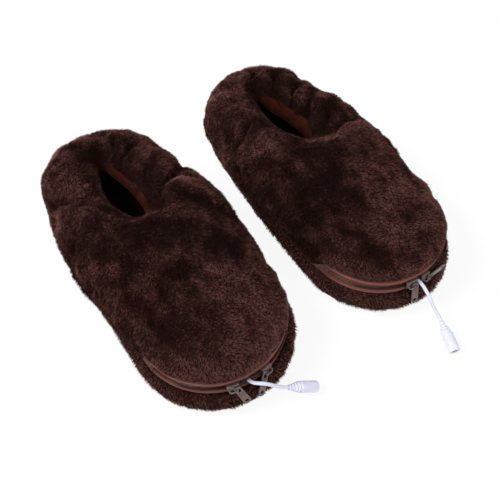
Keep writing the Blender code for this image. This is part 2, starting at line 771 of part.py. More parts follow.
def slider_outline(extra, reach=0):
    """Plan of the slider, wide at its mouth and narrow at its tail."""
    half = SLIDER_LENGTH / 2
    mouth = MOUTH_HALF + extra
    tail = COIL_WIDTH + TOOTH_CLEARANCE + PLATE_CLEARANCE + extra
    return mirrored_outline((
        (half + reach, mouth),
        (half * SLIDER_MOUTH_SHARE, mouth),
        (-half * SLIDER_TAIL_SHARE, tail),
        (-half - reach, tail),
    ))


def bail_outline():
    """Side view of the bail: a bridge whose two legs are sunk in the plate."""
    outer = BAIL_SPAN / 2
    inner = outer - BAIL_THICKNESS
    foot = SLIDER_FRONT - SLIDER_PLATE / 2
    top = SLIDER_FRONT + BAIL_RISE
    chamfer = BAIL_THICKNESS
    return (
        (outer, foot),
        (outer, top),
        (outer - chamfer, top + BAIL_THICKNESS),
        (-outer + chamfer, top + BAIL_THICKNESS),
        (-outer, top),
        (-outer, foot),
        (-inner, foot),
        (-inner, top),
        (inner, top),
        (inner, foot),
    )


def build_slider(name, frame, settings):
    """Slider whose object turns about the arc's own axis; its mouth faces +X as built."""
    body = prism(name, slider_outline(SLIDER_WALL), TAPE_FACE + PLATE_CLEARANCE, SLIDER_FRONT, frame)
    channel = prism("channel", slider_outline(0, OVERRUN), TAPE_FACE - OVERRUN, PLATE_FACE, frame)
    combine(body, channel, "DIFFERENCE")
    back = prism("back", slider_outline(SLIDER_WALL), SLIDER_BACK, SLIDER_BACK + SLIDER_PLATE, frame)
    half = SLIDER_LENGTH / 2
    neck_outline = mirrored_outline((
        (half - GAP, NECK_WIDTH / 4),
        (half - GAP - NECK_LENGTH / 4, NECK_WIDTH / 2),
        (half - GAP - NECK_LENGTH / 2, NECK_WIDTH / 2),
        (half - GAP - NECK_LENGTH, NECK_WIDTH / 8),
    ))
    sunk = SLIDER_PLATE / 2
    neck = prism("neck", neck_outline, SLIDER_BACK + sunk, SLIDER_FRONT - sunk, frame)
    combine(body, neck, "UNION")
    combine(body, back, "UNION")
    bail = prism("bail", [(x, -d) for x, d in bail_outline()], -BAIL_THICKNESS / 2, BAIL_THICKNESS / 2, frame)
    bail.data.transform(Matrix.Rotation(math.radians(-90), 4, "X"))
    combine(body, bail, "UNION")
    if settings["mouth"] < 0:
        body.data.transform(Matrix.Rotation(math.pi, 4, "Y"))
    body.location = (0, ZIP_CENTRE_Y, ZIP_LEVEL)
    body.rotation_euler.z = settings["angle"]
    return body


def circle_outline(radius, centre_z, steps):
    points = []
    for step in range(steps):
        angle = 2 * math.pi * step / steps
        points.append((radius * math.cos(angle), centre_z + radius * math.sin(angle)))
    return points


def build_pull(name, slider, settings, mouth):
    """Pull tab with an eye at its top and a hole at its foot, hung on the slider's bail."""
    leg = BAIL_THICKNESS / 2
    eye_top = leg + GAP
    top = eye_top + EYE_BAR
    foot = top - PULL_LENGTH
    narrow = PULL_TOP_WIDTH / 2
    wide = PULL_BOTTOM_WIDTH / 2
    outline = [
        (-narrow, top - EYE_BAR / 2),
        (-narrow + EYE_BAR / 2, top),
        (narrow - EYE_BAR / 2, top),
        (narrow, top - EYE_BAR / 2),
    ]
    for step in range(ROUND_STEPS // 2 + 1):
        angle = -math.pi * step / (ROUND_STEPS // 2)
        outline.append((wide * math.cos(angle), foot + wide + wide * math.sin(angle)))
    half = PULL_THICKNESS / 2
    tab = prism(name, outline, -half, half, slider)
    eye = [(x, eye_top - EYE_LENGTH / 2 + z) for x, z in rounded_rectangle(EYE_WIDTH, EYE_LENGTH, EYE_BAR)]
    combine(tab, prism("eye", eye, -half - OVERRUN, half + OVERRUN, slider), "DIFFERENCE")
    hole = circle_outline(PULL_HOLE_RADIUS, foot + wide, ROUND_STEPS)
    combine(tab, prism("hole", hole, -half - OVERRUN, half + OVERRUN, slider), "DIFFERENCE")

    leg_x = mouth * (BAIL_SPAN - BAIL_THICKNESS) / 2
    if settings["lies_back"]:
        bar = eye_top + EYE_BAR / 2
        tab.data.transform(Matrix.Translation((0, 0, -bar)))
        leg_x = -mouth * ((BAIL_SPAN - BAIL_THICKNESS) / 2 - bar)
    lean = Matrix.Rotation(-settings["lean"], 4, "X")
    swing = Matrix.Rotation(-settings["swing"], 4, "Y")
    place = Matrix.Translation((leg_x, -SLIDER_FRONT - PULL_HINGE_HEIGHT, 0))
    tab.matrix_local = place @ lean @ swing


def build_zip(side, frame, settings):
    build_tapes(side, frame, settings)
    build_coils(side, frame, settings)
    build_stops(side, frame)
    for name, slider in settings["sliders"].items():
        body = build_slider(side + "_" + name, frame, slider)
        pull = side + "_" + name.replace("slider", "pull")
        build_pull(pull, body, settings["pulls"][name], slider["mouth"])


# Lead
def smooth_route(route):
    """Points on a smooth curve through a hand-drawn route."""
    rows = [[Vector(point)] for point in route]
    count = (len(rows) - 1) * CORD_POINT_STEPS
    return [between_stations(rows, step / CORD_POINT_STEPS)[0] for step in range(count + 1)]


def build_lead(side, frame, settings):
    points = smooth_route(settings["route"])
    tube(side + "_cord", points, CORD_RADIUS, 2, "white_plastic", frame)

    tip = Vector(settings["connector_tip"])
    along = (tip - points[-1]).normalized()
    turn = along.to_track_quat("Z", "Y")
    start = points[-1] + along * GAP

    neck = CONNECTOR_NECK_RADIUS
    profile = [(0, 0), (neck, 0)]
    groove = RELIEF_LENGTH / (2 * RELIEF_GROOVES + 1)
    for index in range(2 * RELIEF_GROOVES + 1):
        height = (index + 1) * groove
        radius = blend(neck, CONNECTOR_RADIUS, smooth(height / RELIEF_LENGTH))
        profile.append((radius - (GROOVE_DEPTH if index % 2 else 0), height))
    profile.append((CONNECTOR_RADIUS, CONNECTOR_LENGTH - CONNECTOR_EDGE))
    profile.append((CONNECTOR_RADIUS - CONNECTOR_EDGE, CONNECTOR_LENGTH))
    floor = CONNECTOR_LENGTH - SOCKET_DEPTH
    profile += [(SOCKET_RADIUS, CONNECTOR_LENGTH), (SOCKET_RADIUS, floor), (0, floor)]
    body = turned(side + "_connector_body", profile[::-1], "white_plastic", frame)

    outer = SOCKET_RADIUS - GAP
    inner = outer - CONTACT_THICKNESS
    low = floor + GAP
    high = CONNECTOR_LENGTH - PIN_RECESS
    sleeve_profile = ((outer, high), (outer, low), (inner, low), (inner, high))
    sleeve = turned(side + "_connector_contact", sleeve_profile, "contact_metal", frame)
    pin_profile = ((0, high), (PIN_RADIUS, high - PIN_RADIUS), (PIN_RADIUS, low), (0, low))
    pin = turned(side + "_connector_pin", pin_profile, "contact_metal", frame)
    for item in (body, sleeve, pin):
        item.location = start
        item.rotation_mode = "QUATERNION"
        item.rotation_quaternion = turn


def build_slipper(side, settings):
    frame = bpy.data.objects.new(side + "_slipper", None)
    parts.objects.link(frame)
    frame.location = (settings["side"] * PAIR_SPACING / 2, -settings["side"] * PAIR_STAGGER / 2, 0)
    build_sole(side, frame)
    build_heating(side, frame, settings["route"][0][0])
    build_upper(side, frame, settings["fold_shares"])
    build_zip(side, frame, settings)
    build_lead(side, frame, settings)


for item in list(bpy.data.objects):
    bpy.data.objects.remove(item)
parts = bpy.data.collections.new("heated_slippers")
bpy.context.scene.collection.children.link(parts)
materials = {name: make_material(name) for name in MATERIALS}
for slipper_side, slipper_settings in SLIPPERS.items():
    build_slipper(slipper_side, slipper_settings)
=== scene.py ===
import math
from functools import partial

import bpy
import numpy as np
from mathutils import Matrix, Vector, noise
from mathutils.kdtree import KDTree


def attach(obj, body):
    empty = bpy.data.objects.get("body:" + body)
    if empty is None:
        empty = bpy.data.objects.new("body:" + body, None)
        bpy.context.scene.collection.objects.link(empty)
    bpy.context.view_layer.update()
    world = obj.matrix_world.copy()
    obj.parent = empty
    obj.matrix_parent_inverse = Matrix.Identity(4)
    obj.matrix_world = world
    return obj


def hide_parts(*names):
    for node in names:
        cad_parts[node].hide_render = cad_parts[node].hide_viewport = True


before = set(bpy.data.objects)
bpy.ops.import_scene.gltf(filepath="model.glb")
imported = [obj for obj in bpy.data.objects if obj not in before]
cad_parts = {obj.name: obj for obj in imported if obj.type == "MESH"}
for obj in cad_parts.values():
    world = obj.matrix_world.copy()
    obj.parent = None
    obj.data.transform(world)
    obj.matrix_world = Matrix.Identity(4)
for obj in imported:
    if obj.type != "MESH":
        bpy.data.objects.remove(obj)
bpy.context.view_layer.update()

sides = ("left", "right")
slipperAt = {"left": (-0.0839, 0.0066), "right": (0.0839, -0.0066)}


# camera at the photograph's angle
view = {
    "target": (-0.0044, -0.0146, 0),
    "azimuth": math.radians(-37.04),
    "elevation": math.radians(54.2),
    "distance": 0.5973,
    "lens": 46.0,
    "sensor": 36.0,
}
away = Vector((
    math.sin(view["azimuth"]) * math.cos(view["elevation"]),
    -math.cos(view["azimuth"]) * math.cos(view["elevation"]),
    math.sin(view["elevation"]),
))
spot = Vector(view["target"]) + away * view["distance"]
bpy.ops.object.camera_add(location=spot, rotation=away.to_track_quat("Z", "Y").to_euler())
camera = bpy.context.object
camera.data.lens = view["lens"]
camera.data.sensor_width = view["sensor"]
camera.data.clip_start = 0.01
bpy.context.scene.camera = camera
bpy.context.scene.view_settings.view_transform = "Standard"
print("camera placed")


# small helpers
def selectOnly(piece):
    bpy.ops.object.select_all(action="DESELECT")
    piece.select_set(True)
    bpy.context.view_layer.objects.active = piece


def newPiece(name, data):
    piece = bpy.data.objects.new(name, data)
    bpy.context.scene.collection.objects.link(piece)
    selectOnly(piece)
    return piece


def meshFrom(name, points, edges, faces):
    mesh = bpy.data.meshes.new(name)
    mesh.from_pydata([tuple(point) for point in points], edges, faces)
    mesh.update()
    return newPiece(name, mesh)


def applyAll(piece):
    selectOnly(piece)
    for modifier in list(piece.modifiers):
        bpy.ops.object.modifier_apply(modifier=modifier.name)


def addModifier(piece, kind, **values):
    selectOnly(piece)
    bpy.ops.object.modifier_add(type=kind)
    modifier = piece.modifiers[-1]
    for key, value in values.items():
        setattr(modifier, key, value)
    return modifier


def editAll(step, **values):  # one edit-mode step on the whole active piece
    bpy.ops.object.mode_set(mode="EDIT")
    bpy.ops.mesh.select_all(action="SELECT")
    step(**values)
    bpy.ops.object.mode_set(mode="OBJECT")


def evenNormals():
    editAll(bpy.ops.mesh.normals_make_consistent, inside=False)


def smoothBelow(degrees):
    bpy.ops.object.shade_smooth_by_angle(angle=math.radians(degrees))


def roundEdges(piece, width, segments, degrees):
    addModifier(piece, "BEVEL", width=width, segments=segments, limit_method="ANGLE",
                angle_limit=math.radians(degrees))
    applyAll(piece)
    smoothBelow(35)


def copyNode(node, name):
    piece = newPiece(name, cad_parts[node].data.copy())
    editAll(bpy.ops.mesh.remove_doubles, threshold=0.00002)
    evenNormals()
    return piece


def finish(piece, material, body, slot, *nodes):
    piece.data.materials.clear()
    piece.data.materials.append(material)
    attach(piece, body)
    if nodes:
        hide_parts(*nodes)


def vectorsOf(mesh, kind):
    values = np.empty(len(mesh.vertices) * 3)
    mesh.vertices.foreach_get(kind, values)
    return values.reshape(-1, 3)


def skinOf(mesh):
    return vectorsOf(mesh, "co"), vectorsOf(mesh, "normal")


def setPoints(mesh, points):
    mesh.vertices.foreach_set("co", np.asarray(points, dtype=float).ravel())
    mesh.update()


def ease(value, low, high):
    share = np.clip((value - low) / (high - low), 0, 1)
    return share * share * (3 - 2 * share)


def fade(value, settings):
    faded, low, high = settings
    return 1 - faded * ease(value, low, high)


# node helpers: an input takes either another node's output or a plain value
def socket(sockets, key):
    if isinstance(key, int):
        return sockets[key]
    return next(item for item in sockets if item.enabled and key in (item.name, None))


def fill(tree, node, inputs):
    for key, value in inputs.items():
        entry = socket(node.inputs, key)
        if isinstance(value, bpy.types.NodeSocket):
            tree.links.new(value, entry)
        else:
            entry.default_value = (*value, 1) if entry.type == "RGBA" else value
    return node


def addNode(tree, kind, inputs=None, **settings):
    node = tree.nodes.new("ShaderNode" + kind)
    for key, value in settings.items():
        setattr(node, key, value)
    return fill(tree, node, inputs or {})


def outputOf(tree, kind, inputs=None, output=None, **settings):
    return socket(addNode(tree, kind, inputs, **settings).outputs, output)


def calculate(tree, operation, *values):
    return outputOf(tree, "Math", dict(enumerate(values)), operation=operation)


def mapRange(tree, value, fromMin, fromMax, toMin=0.0, toMax=1.0):
    return outputOf(tree, "MapRange", {
        "Value": value, "From Min": fromMin, "From Max": fromMax, "To Min": toMin, "To Max": toMax})


def mixColours(tree, factor, dark, light):
    return outputOf(tree, "Mix", {"Factor": factor, "A": dark, "B": light}, data_type="RGBA")


def scaleColour(tree, colour, share):
    return outputOf(tree, "VectorMath", {0: colour, "Scale": share}, operation="SCALE")


def splitPlace(tree, place):
    return addNode(tree, "SeparateXYZ", {0: place}).outputs


def newGroup(name, inputs, outputs):
    tree = bpy.data.node_groups.new(name, "ShaderNodeTree")
    for label, value in inputs.items():
        colour = isinstance(value, tuple)
        entry = tree.interface.new_socket(
            name=label, in_out="INPUT", socket_type="NodeSocketColor" if colour else "NodeSocketFloat")
        entry.default_value = (*value, 1) if colour else value
    for label, kind in outputs.items():
        tree.interface.new_socket(name=label, in_out="OUTPUT", socket_type=kind)
    return tree, tree.nodes.new("NodeGroupInput").outputs, tree.nodes.new("NodeGroupOutput")


def useGroup(tree, group, inputs):
    node = tree.nodes.new("ShaderNodeGroup")
    node.node_tree = group
    return fill(tree, node, inputs).outputs


# two shades in soft patches with a finer grain among them
def makeMottle():
    tree, given, leave = newGroup(
        "mottle",
        {"dark": (0, 0, 0), "light": (1, 1, 1), "patchScale": 60.0, "grainScale": 900.0, "grain": 0.35},
        {"colour": "NodeSocketColor", "mask": "NodeSocketFloat"},
    )
    place = outputOf(tree, "TexCoord", output="Object")
    patch = outputOf(tree, "TexNoise", {"Vector": place, "Scale": given["patchScale"], "Detail": 3})
    grain = outputOf(tree, "TexNoise", {"Vector": place, "Scale": given["grainScale"], "Detail": 2})
    mixed = outputOf(tree, "Mix", {"Factor": given["grain"], "A": patch, "B": grain}, data_type="FLOAT")
    spread = mapRange(tree, mixed, 0.34, 0.66)
    fill(tree, leave, {"colour": mixColours(tree, spread, given["dark"], given["light"]), "mask": spread})
    return tree


mottle = makeMottle()


def newMaterial(name, roughness, specular=0.5, metallic=0.0):
    material = bpy.data.materials.new(name)
    material.use_nodes = True
    tree = material.node_tree
    return material, tree, fill(tree, tree.nodes["Principled BSDF"], {
        "Roughness": roughness, "Specular IOR Level": specular, "Metallic": metallic})


def addBump(tree, shader, height, depth):
    bump = outputOf(tree, "Bump", {"Height": height, "Strength": 1.0, "Distance": depth})
    fill(tree, shader, {"Normal": bump})


def mottledMaterial(name, dark, light, patches, grains, grain, relief, *surface):
    material, tree, shader = newMaterial(name, *surface)
    shades = useGroup(tree, mottle, {
        "dark": dark, "light": light, "patchScale": patches, "grainScale": grains, "grain": grain})
    fill(tree, shader, {"Base Color": shades["colour"]})
    addBump(tree, shader, shades["mask"], relief)
    return material


# fine ribs along a map, with an uneven shade from rib to rib
def makeRibs():
    tree, given, leave = newGroup(
        "ribs", {"along": 0.0, "across": 0.0, "pitch": 0.0005, "slant": 0.4},
        {"height": "NodeSocketFloat", "mask": "NodeSocketFloat"},
    )
    slanted = calculate(tree, "MULTIPLY_ADD", given["across"], given["slant"], given["along"])
    turns = calculate(tree, "DIVIDE", slanted, given["pitch"])
    wave = calculate(tree, "SINE", calculate(tree, "MULTIPLY", turns, 2 * math.pi))
    place = outputOf(tree, "CombineXYZ", {"X": turns})
    uneven = outputOf(tree, "TexNoise", {"Vector": place, "Scale": 0.7, "Detail": 2})
    fill(tree, leave, {"height": wave, "mask": uneven})
    return tree


ribs = makeRibs()
# painted shade: a strip is coloured darker towards its ends, where it runs back into the fur's shade
stripPaintedShade = {"from": 0.070, "to": 0.090, "dark": 0.35}  # a strip darkens where it runs back at its ends


def ribbedMaterial(name, dark, light, pitch, slant, relief, **surface):
    material, tree, shader = newMaterial(name, **surface)
    place = splitPlace(tree, outputOf(tree, "UVMap", uv_map="strip"))
    rib = useGroup(tree, ribs, {"along": place["X"], "across": place["Y"], "pitch": pitch, "slant": slant})
    # painted shade: the grooves between ribs are coloured darker than the crests, with a random shade from rib
    # to rib
    uneven = calculate(tree, "MULTIPLY", mapRange(tree, rib["height"], -1.0, 1.0), rib["mask"])
    colour = mixColours(tree, mapRange(tree, uneven, 0.0, 0.55), dark, light)
    # painted shade towards the strip's ends
    fromMiddle = calculate(tree, "ABSOLUTE", place["X"])
    shade = mapRange(tree, fromMiddle, stripPaintedShade["from"], stripPaintedShade["to"], 1.0, stripPaintedShade["dark"])
    fill(tree, shader, {"Base Color": scaleColour(tree, colour, shade)})
    addBump(tree, shader, rib["height"], relief)
    return material


tapeCloth = ribbedMaterial(
    "tapeCloth", (0.148, 0.048, 0.037), (0.290, 0.104, 0.081),
    pitch=0.00055, slant=0.5, relief=0.00006, roughness=0.62, specular=0.3)
# dark stitch thread, partly painted shade: it stands in for the shade in the grooves beside the coil
tapeThread = ribbedMaterial(
    "tapeThread", (0.022, 0.0085, 0.0070), (0.050, 0.019, 0.016),
    pitch=0.00045, slant=1.0, relief=0.00005, roughness=0.5, specular=0.3)
coilNylon = ribbedMaterial(
    "coilNylon", (0.085, 0.031, 0.024), (0.215, 0.082, 0.065),
    pitch=0.0014, slant=0.0, relief=0.00002, roughness=0.6, specular=0.12)
# plain finishes: two shades, scales of patches and grain, the grain's share, its relief, then the
# surface's roughness, specular level and metallic share
plain = {
    "fleeceBase": ((0.006, 0.0022, 0.0018), (0.028, 0.0100, 0.0080), 70, 700, 0.6, 0.0008, 0.95, 0.03, 0.0),
    # painted shade: the insole is coloured near black, as the shade deep in the opening
    "insoleCloth": ((0.0045, 0.0017, 0.0014), (0.0130, 0.0048, 0.0039), 60, 900, 0.5, 0.0006, 0.95, 0.03, 0.0),
    "zipMetal": ((0.108, 0.072, 0.069), (0.176, 0.124, 0.118), 220, 1500, 0.35, 0.00001, 0.36, 0.5, 0.55),
    "stopMetal": ((0.040, 0.018, 0.015), (0.075, 0.034, 0.028), 220, 1500, 0.35, 0.00001, 0.75, 0.2, 0.1),
    "socketMetal": ((0.45, 0.44, 0.42), (0.65, 0.64, 0.6), 200, 2000, 0.5, 0.00001, 0.25, 0.5, 1.0),
    "whitePlastic": ((0.64, 0.66, 0.78), (0.70, 0.72, 0.84), 60, 900, 0.2, 0.00002, 0.55, 0.3, 0.0),
    "blackPlastic": ((0.02, 0.02, 0.02), (0.04, 0.04, 0.04), 90, 1200, 0.4, 0.00003, 0.42, 0.5, 0.0),
    "hiddenWire": ((0.35, 0.06, 0.04), (0.50, 0.09, 0.06), 80, 900, 0.3, 0.00002, 0.4, 0.5, 0.0),
    "hiddenFelt": ((0.22, 0.20, 0.19), (0.36, 0.34, 0.31), 60, 1100, 0.6, 0.0002, 0.95, 0.5, 0.0),
    "hiddenFoam": ((0.68, 0.64, 0.54), (0.80, 0.77, 0.67), 60, 1200, 0.6, 0.0003, 0.9, 0.5, 0.0),
}
plain = {name: mottledMaterial(name, *values) for name, values in plain.items()}


def makeLiningCloth():  # rust-brown tricot that darkens down the opening
    material, tree, shader = newMaterial("liningCloth", roughness=0.8, specular=0.03)
    shades = useGroup(tree, mottle, {
        "dark": (0.014, 0.0026, 0.0011), "light": (0.048, 0.0090, 0.0036),
        "patchScale": 120, "grainScale": 1500, "grain": 0.35})
    level = splitPlace(tree, outputOf(tree, "TexCoord", output="Object"))["Z"]
    # painted shade: the lining is coloured darker lower down the opening, where the shade deepens
    share = mapRange(tree, level, 0.056, 0.0745, 0.10, 1.0)
    fill(tree, shader, {
        "Base Color": scaleColour(tree, shades["colour"], share),
        "Sheen Weight": 0.03, "Sheen Roughness": 0.4, "Sheen Tint": (1.0, 0.4, 0.25)})
    addBump(tree, shader, shades["mask"], 0.0003)
    return material


def makePileYarn():  # the map: each tuft's shade across, root to tip upwards
    material, tree, shader = newMaterial("pileYarn", roughness=0.8, specular=0.04)
    place = splitPlace(tree, outputOf(tree, "UVMap", uv_map="OFBake"))
    shades = addNode(tree, "ValToRGB", {0: place["X"]})
    ramp = shades.color_ramp
    ramp.elements[0].color = (0.0215, 0.0082, 0.0070, 1)
    ramp.elements[1].color = (0.330, 0.136, 0.116, 1)
    ramp.elements.new(0.25).color = (0.053, 0.0208, 0.0177, 1)
    ramp.elements.new(0.5).color = (0.112, 0.0435, 0.0366, 1)
    ramp.elements.new(0.75).color = (0.200, 0.0795, 0.0672, 1)
    # painted shade: each tuft is coloured darker towards its root, as the shade down in the pile
    rise = mapRange(tree, place["Y"], 0.28, 1.0, 0.13, 1.0)
    fill(tree, shader, {
        "Base Color": scaleColour(tree, shades.outputs["Color"], rise),
        "Sheen Weight": 0.04, "Sheen Roughness": 0.5, "Sheen Tint": (1.0, 0.45, 0.36)})
    return material


def makeSoleCloth():  # a crossed weave with lighter grip dots
    material, tree, shader = newMaterial("soleCloth", roughness=0.85, specular=0.3)
    place = outputOf(tree, "TexCoord", output="Object")
    waves = [outputOf(tree, "TexWave", {"Vector": place, "Scale": 420}, "Fac", bands_direction=way)
             for way in ("DIAGONAL", "Y")]
    crossed = calculate(tree, "MULTIPLY", *waves)
    dots = outputOf(tree, "TexVoronoi", {"Vector": place, "Scale": 170, "Randomness": 0.0}, "Distance")
    spot = mapRange(tree, dots, 0.24, 0.30, 1.0, 0.0)
    cloth = mixColours(tree, crossed, (0.012, 0.007, 0.006), (0.040, 0.024, 0.020))
    fill(tree, shader, {"Base Color": mixColours(tree, spot, cloth, (0.060, 0.050, 0.047))})
    addBump(tree, shader, calculate(tree, "MULTIPLY_ADD", crossed, 0.3, spot), 0.0002)
    return material


liningCloth = makeLiningCloth()
pileYarn = makePileYarn()
soleCloth = makeSoleCloth()
print("materials made")


# cords: free ends run from the zip to their sockets, on the same points as the solids
cord = {
    "radius": 0.0015,
    "resolution": 4,
    "pointSteps": 2,
    "routes": {
        "left": (
            (-0.0062, -0.1226, 0.0222), (-0.0062, -0.1240, 0.0222), (-0.0063, -0.1256, 0.0222),
            (-0.0075, -0.1305, 0.0278), (-0.0082, -0.1350, 0.0293), (-0.0060, -0.1400, 0.0295),
            (-0.0007, -0.1443, 0.0290), (0.0042, -0.1480, 0.0264), (0.0088, -0.1510, 0.0222),
            (0.0132, -0.1533, 0.0190), (0.0149, -0.1540, 0.0180), (0.0165, -0.1546, 0.0170),
        ),
        "right": (
            (-0.0058, -0.1226, 0.0222), (-0.0058, -0.1240, 0.0222), (-0.0058, -0.1256, 0.0222),
            (-0.0062, -0.1308, 0.0278), (-0.0063, -0.1365, 0.0293), (-0.0065, -0.1430, 0.0286),
            (-0.0073, -0.1518, 0.0240), (-0.0068, -0.1590, 0.0160), (-0.0058, -0.1640, 0.0110),
            (-0.0060, -0.1672, 0.0088), (-0.0067, -0.1692, 0.0084), (-0.0074, -0.1711, 0.0082),
        ),
    },
    "tips": {"left": (0.0369, -0.1625, 0.0050), "right": (-0.0168, -0.1950, 0.0053)},
}


def smoothLine(points, steps):
    line = []
    for index in range(len(points) - 1):
        before = points[max(index - 1, 0)]
        start, end = points[index], points[index + 1]
        after = points[min(index + 2, len(points) - 1)]
        for step in range(steps):
            share = step / steps
            leaving, arriving = (end - before) / 2, (after - start) / 2
            bend = 3 * (end - start) - 2 * leaving - arriving
            close = 2 * (start - end) + leaving + arriving
            line.append(start + leaving * share + bend * share ** 2 + close * share ** 3)
    return line + [points[-1]]


def makeCord(side):
    x, y = slipperAt[side]
    route = [Vector((point[0] + x, point[1] + y, point[2])) for point in cord["routes"][side]]
    line = smoothLine(route, cord["pointSteps"])
    curve = bpy.data.curves.new(side + "_lead", "CURVE")
    curve.dimensions = "3D"
    curve.bevel_depth = cord["radius"]
    curve.bevel_resolution = cord["resolution"]
    curve.use_fill_caps = True
    spline = curve.splines.new("POLY")
    spline.points.add(len(line) - 1)
    for place, point in zip(spline.points, line):
        place.co = (*point, 1)
    spline.use_smooth = True
    piece = newPiece(side + "_lead", curve)
    finish(piece, plain["whitePlastic"], "slippers", "white_plastic", side + "_cord")
    return piece, line


# inline socket, spun round its axis: four grooves on the tapered relief, then a plain barrel
connector = {
    "length": 0.0270,
    "radius": 0.0048,
    "neck": 0.0024,
    "relief": 0.0120,
    "grooves": 4,
    "grooveDepth": 0.00042,
    "groove": ((0.30, 0), (0.42, 0.7), (0.55, 1), (0.78, 1), (0.90, 0.7), (1.02, 0)),
    "edge": 0.0006,
    "bore": 0.0031,
    "depth": 0.0095,
    "gap": 0.0003,
    "steps": 48,
}


def spinProfile(name, profile, start, along, steps):
    points = [(radius, 0, height) for radius, height in profile]
    piece = meshFrom(name, points, [(index, index + 1) for index in range(len(points) - 1)], [])
    editAll(bpy.ops.mesh.spin, steps=steps, angle=2 * math.pi, center=(0, 0, 0), axis=(0, 0, 1))
    editAll(bpy.ops.mesh.remove_doubles, threshold=0.00001)
    evenNormals()
    turn = along.to_track_quat("Z", "Y").to_matrix().to_4x4()
    piece.data.transform(Matrix.Translation(start) @ turn)
    smoothBelow(35)
    return piece


def makeConnector(side, line):
    x, y = slipperAt[side]
    tip = Vector(cord["tips"][side]) + Vector((x, y, 0))
    along = (tip - line[-1]).normalized()
    start = line[-1] + along * connector["gap"]
    neck, radius, relief = connector["neck"], connector["radius"], connector["relief"]
    profile = [(0, 0), (neck - connector["gap"], 0), (neck, connector["gap"])]
    pitch = relief / (connector["grooves"] + 0.5)
    for index in range(connector["grooves"]):
        for share, sunk in connector["groove"]:
            height = (index + share) * pitch
            grown = neck + (radius - neck) * float(ease(height, 0, relief))
            profile.append((grown - connector["grooveDepth"] * sunk, height))
    length, edge, bore = connector["length"], connector["edge"], connector["bore"]
    profile.append((radius, relief + edge))
    for degrees in (0, 30, 60, 90):
        angle = math.radians(degrees)
        profile.append((radius - edge * (1 - math.cos(angle)), length - edge * (1 - math.sin(angle))))
    floor = length - connector["depth"]
    profile += [(bore + edge / 2, length), (bore, length - edge / 2), (bore, floor), (0, floor)]
    body = spinProfile(side + "_socket_shell", profile, start, along, connector["steps"])
    finish(body, plain["whitePlastic"], "slippers", "white_plastic", side + "_connector_body")
    return body


for side in sides:
    lead, line = makeCord(side)
    shell = makeConnector(side, line)
print("cords and sockets made")


# zip: an arc round each toe, with its two rows drawn apart where the lead comes out
zipArc = {
    "centre": -0.0730,
    "face": 0.0614,
    "level": 0.0293,
    "coilBack": 0.0617,
    "coilFront": 0.0637,
    "coilWidth": 0.0019,
    "endAngle": math.radians(81),
    "sliderLength": 0.0096,
    "mouthParting": 0.00145,
    "cordParting": 0.00209,
    "leads": {"left": math.radians(-7.4), "right": math.radians(-5.8)},
    "sliders": {
        "left": (math.radians(-19.5), math.radians(7.5)),
        "right": (math.radians(-12.8), math.radians(1.0)),
    },
}


def onArc(side, radius, angle, level):
    x, y = slipperAt[side]
    return Vector((x + radius * math.sin(angle), y + zipArc["centre"] - radius * math.cos(angle), level))


def parting(side, angle):
    half = zipArc["sliderLength"] / 2 / zipArc["coilBack"]
    lead = zipArc["leads"][side]
    for slider, way in zip(zipArc["sliders"][side], (1, -1)):
        mouth = slider + way * half
        if (angle - lead) * (mouth - lead) < 0:
            continue
        if abs(angle - lead) <= abs(mouth - lead):
            share = float(ease(abs(angle - lead) / abs(mouth - lead), 0, 1))
            return zipArc["cordParting"] + (zipArc["mouthParting"] - zipArc["cordParting"]) * share
        return zipArc["mouthParting"] * (1 - float(ease(abs(angle - mouth) / (2 * half), 0, 1)))
    return zipArc["cordParting"]


def stripMap(mesh, along, across):  # where each point lies along and across its strip, in metres
    corners = np.empty(len(mesh.loops), dtype=int)
    mesh.loops.foreach_get("vertex_index", corners)
    places = np.stack([np.asarray(along)[corners], np.asarray(across)[corners]], axis=1)
    mesh.uv_layers.new(name="strip").data.foreach_set("uv", places.ravel())


def loftRings(name, rings):  # a closed skin over rings of one count
    steps, sides = len(rings), len(rings[0])
    faces = [tuple(range(sides)), tuple(range((steps - 1) * sides, steps * sides))[::-1]]
    for base in range(0, (steps - 1) * sides, sides):
        for index in range(sides):
            a, b = base + index, base + (index + 1) % sides
            faces.append((a, b, b + sides, a + sides))
    piece = meshFrom(name, [point for ring in rings for point in ring], [], faces)
    evenNormals()
    return piece


def sweepRound(name, line, radius, sides):
    points = np.array([tuple(point) for point in line])
    heading = np.gradient(points, axis=0)
    heading /= np.linalg.norm(heading, axis=1, keepdims=True)
    beside = np.cross(heading, (0, 0, 1.0))
    beside /= np.maximum(np.linalg.norm(beside, axis=1, keepdims=True), 1e-9)
    above = np.cross(beside, heading)
    angles = 2 * math.pi * np.arange(sides) / sides
    around = [beside * math.cos(angle) + above * math.sin(angle) for angle in angles]
    piece = loftRings(name, points[:, None] + radius * np.stack(around, axis=1))
    length = np.concatenate([[0], np.cumsum(np.linalg.norm(np.diff(points, axis=0), axis=1))])
    stripMap(piece.data, np.repeat(length, sides), np.tile(angles * radius, len(points)))
    smoothBelow(60)
    return piece


# nylon coils: one flattened spring in each row, its loops locking with the other row's
coil = {
    "pitch": 0.00145,
    "wire": 0.00034,
    "pointsPerTurn": 10,
    "sides": 6,
    "reach": 0.00022,
    "endGap": 0.0021,
}


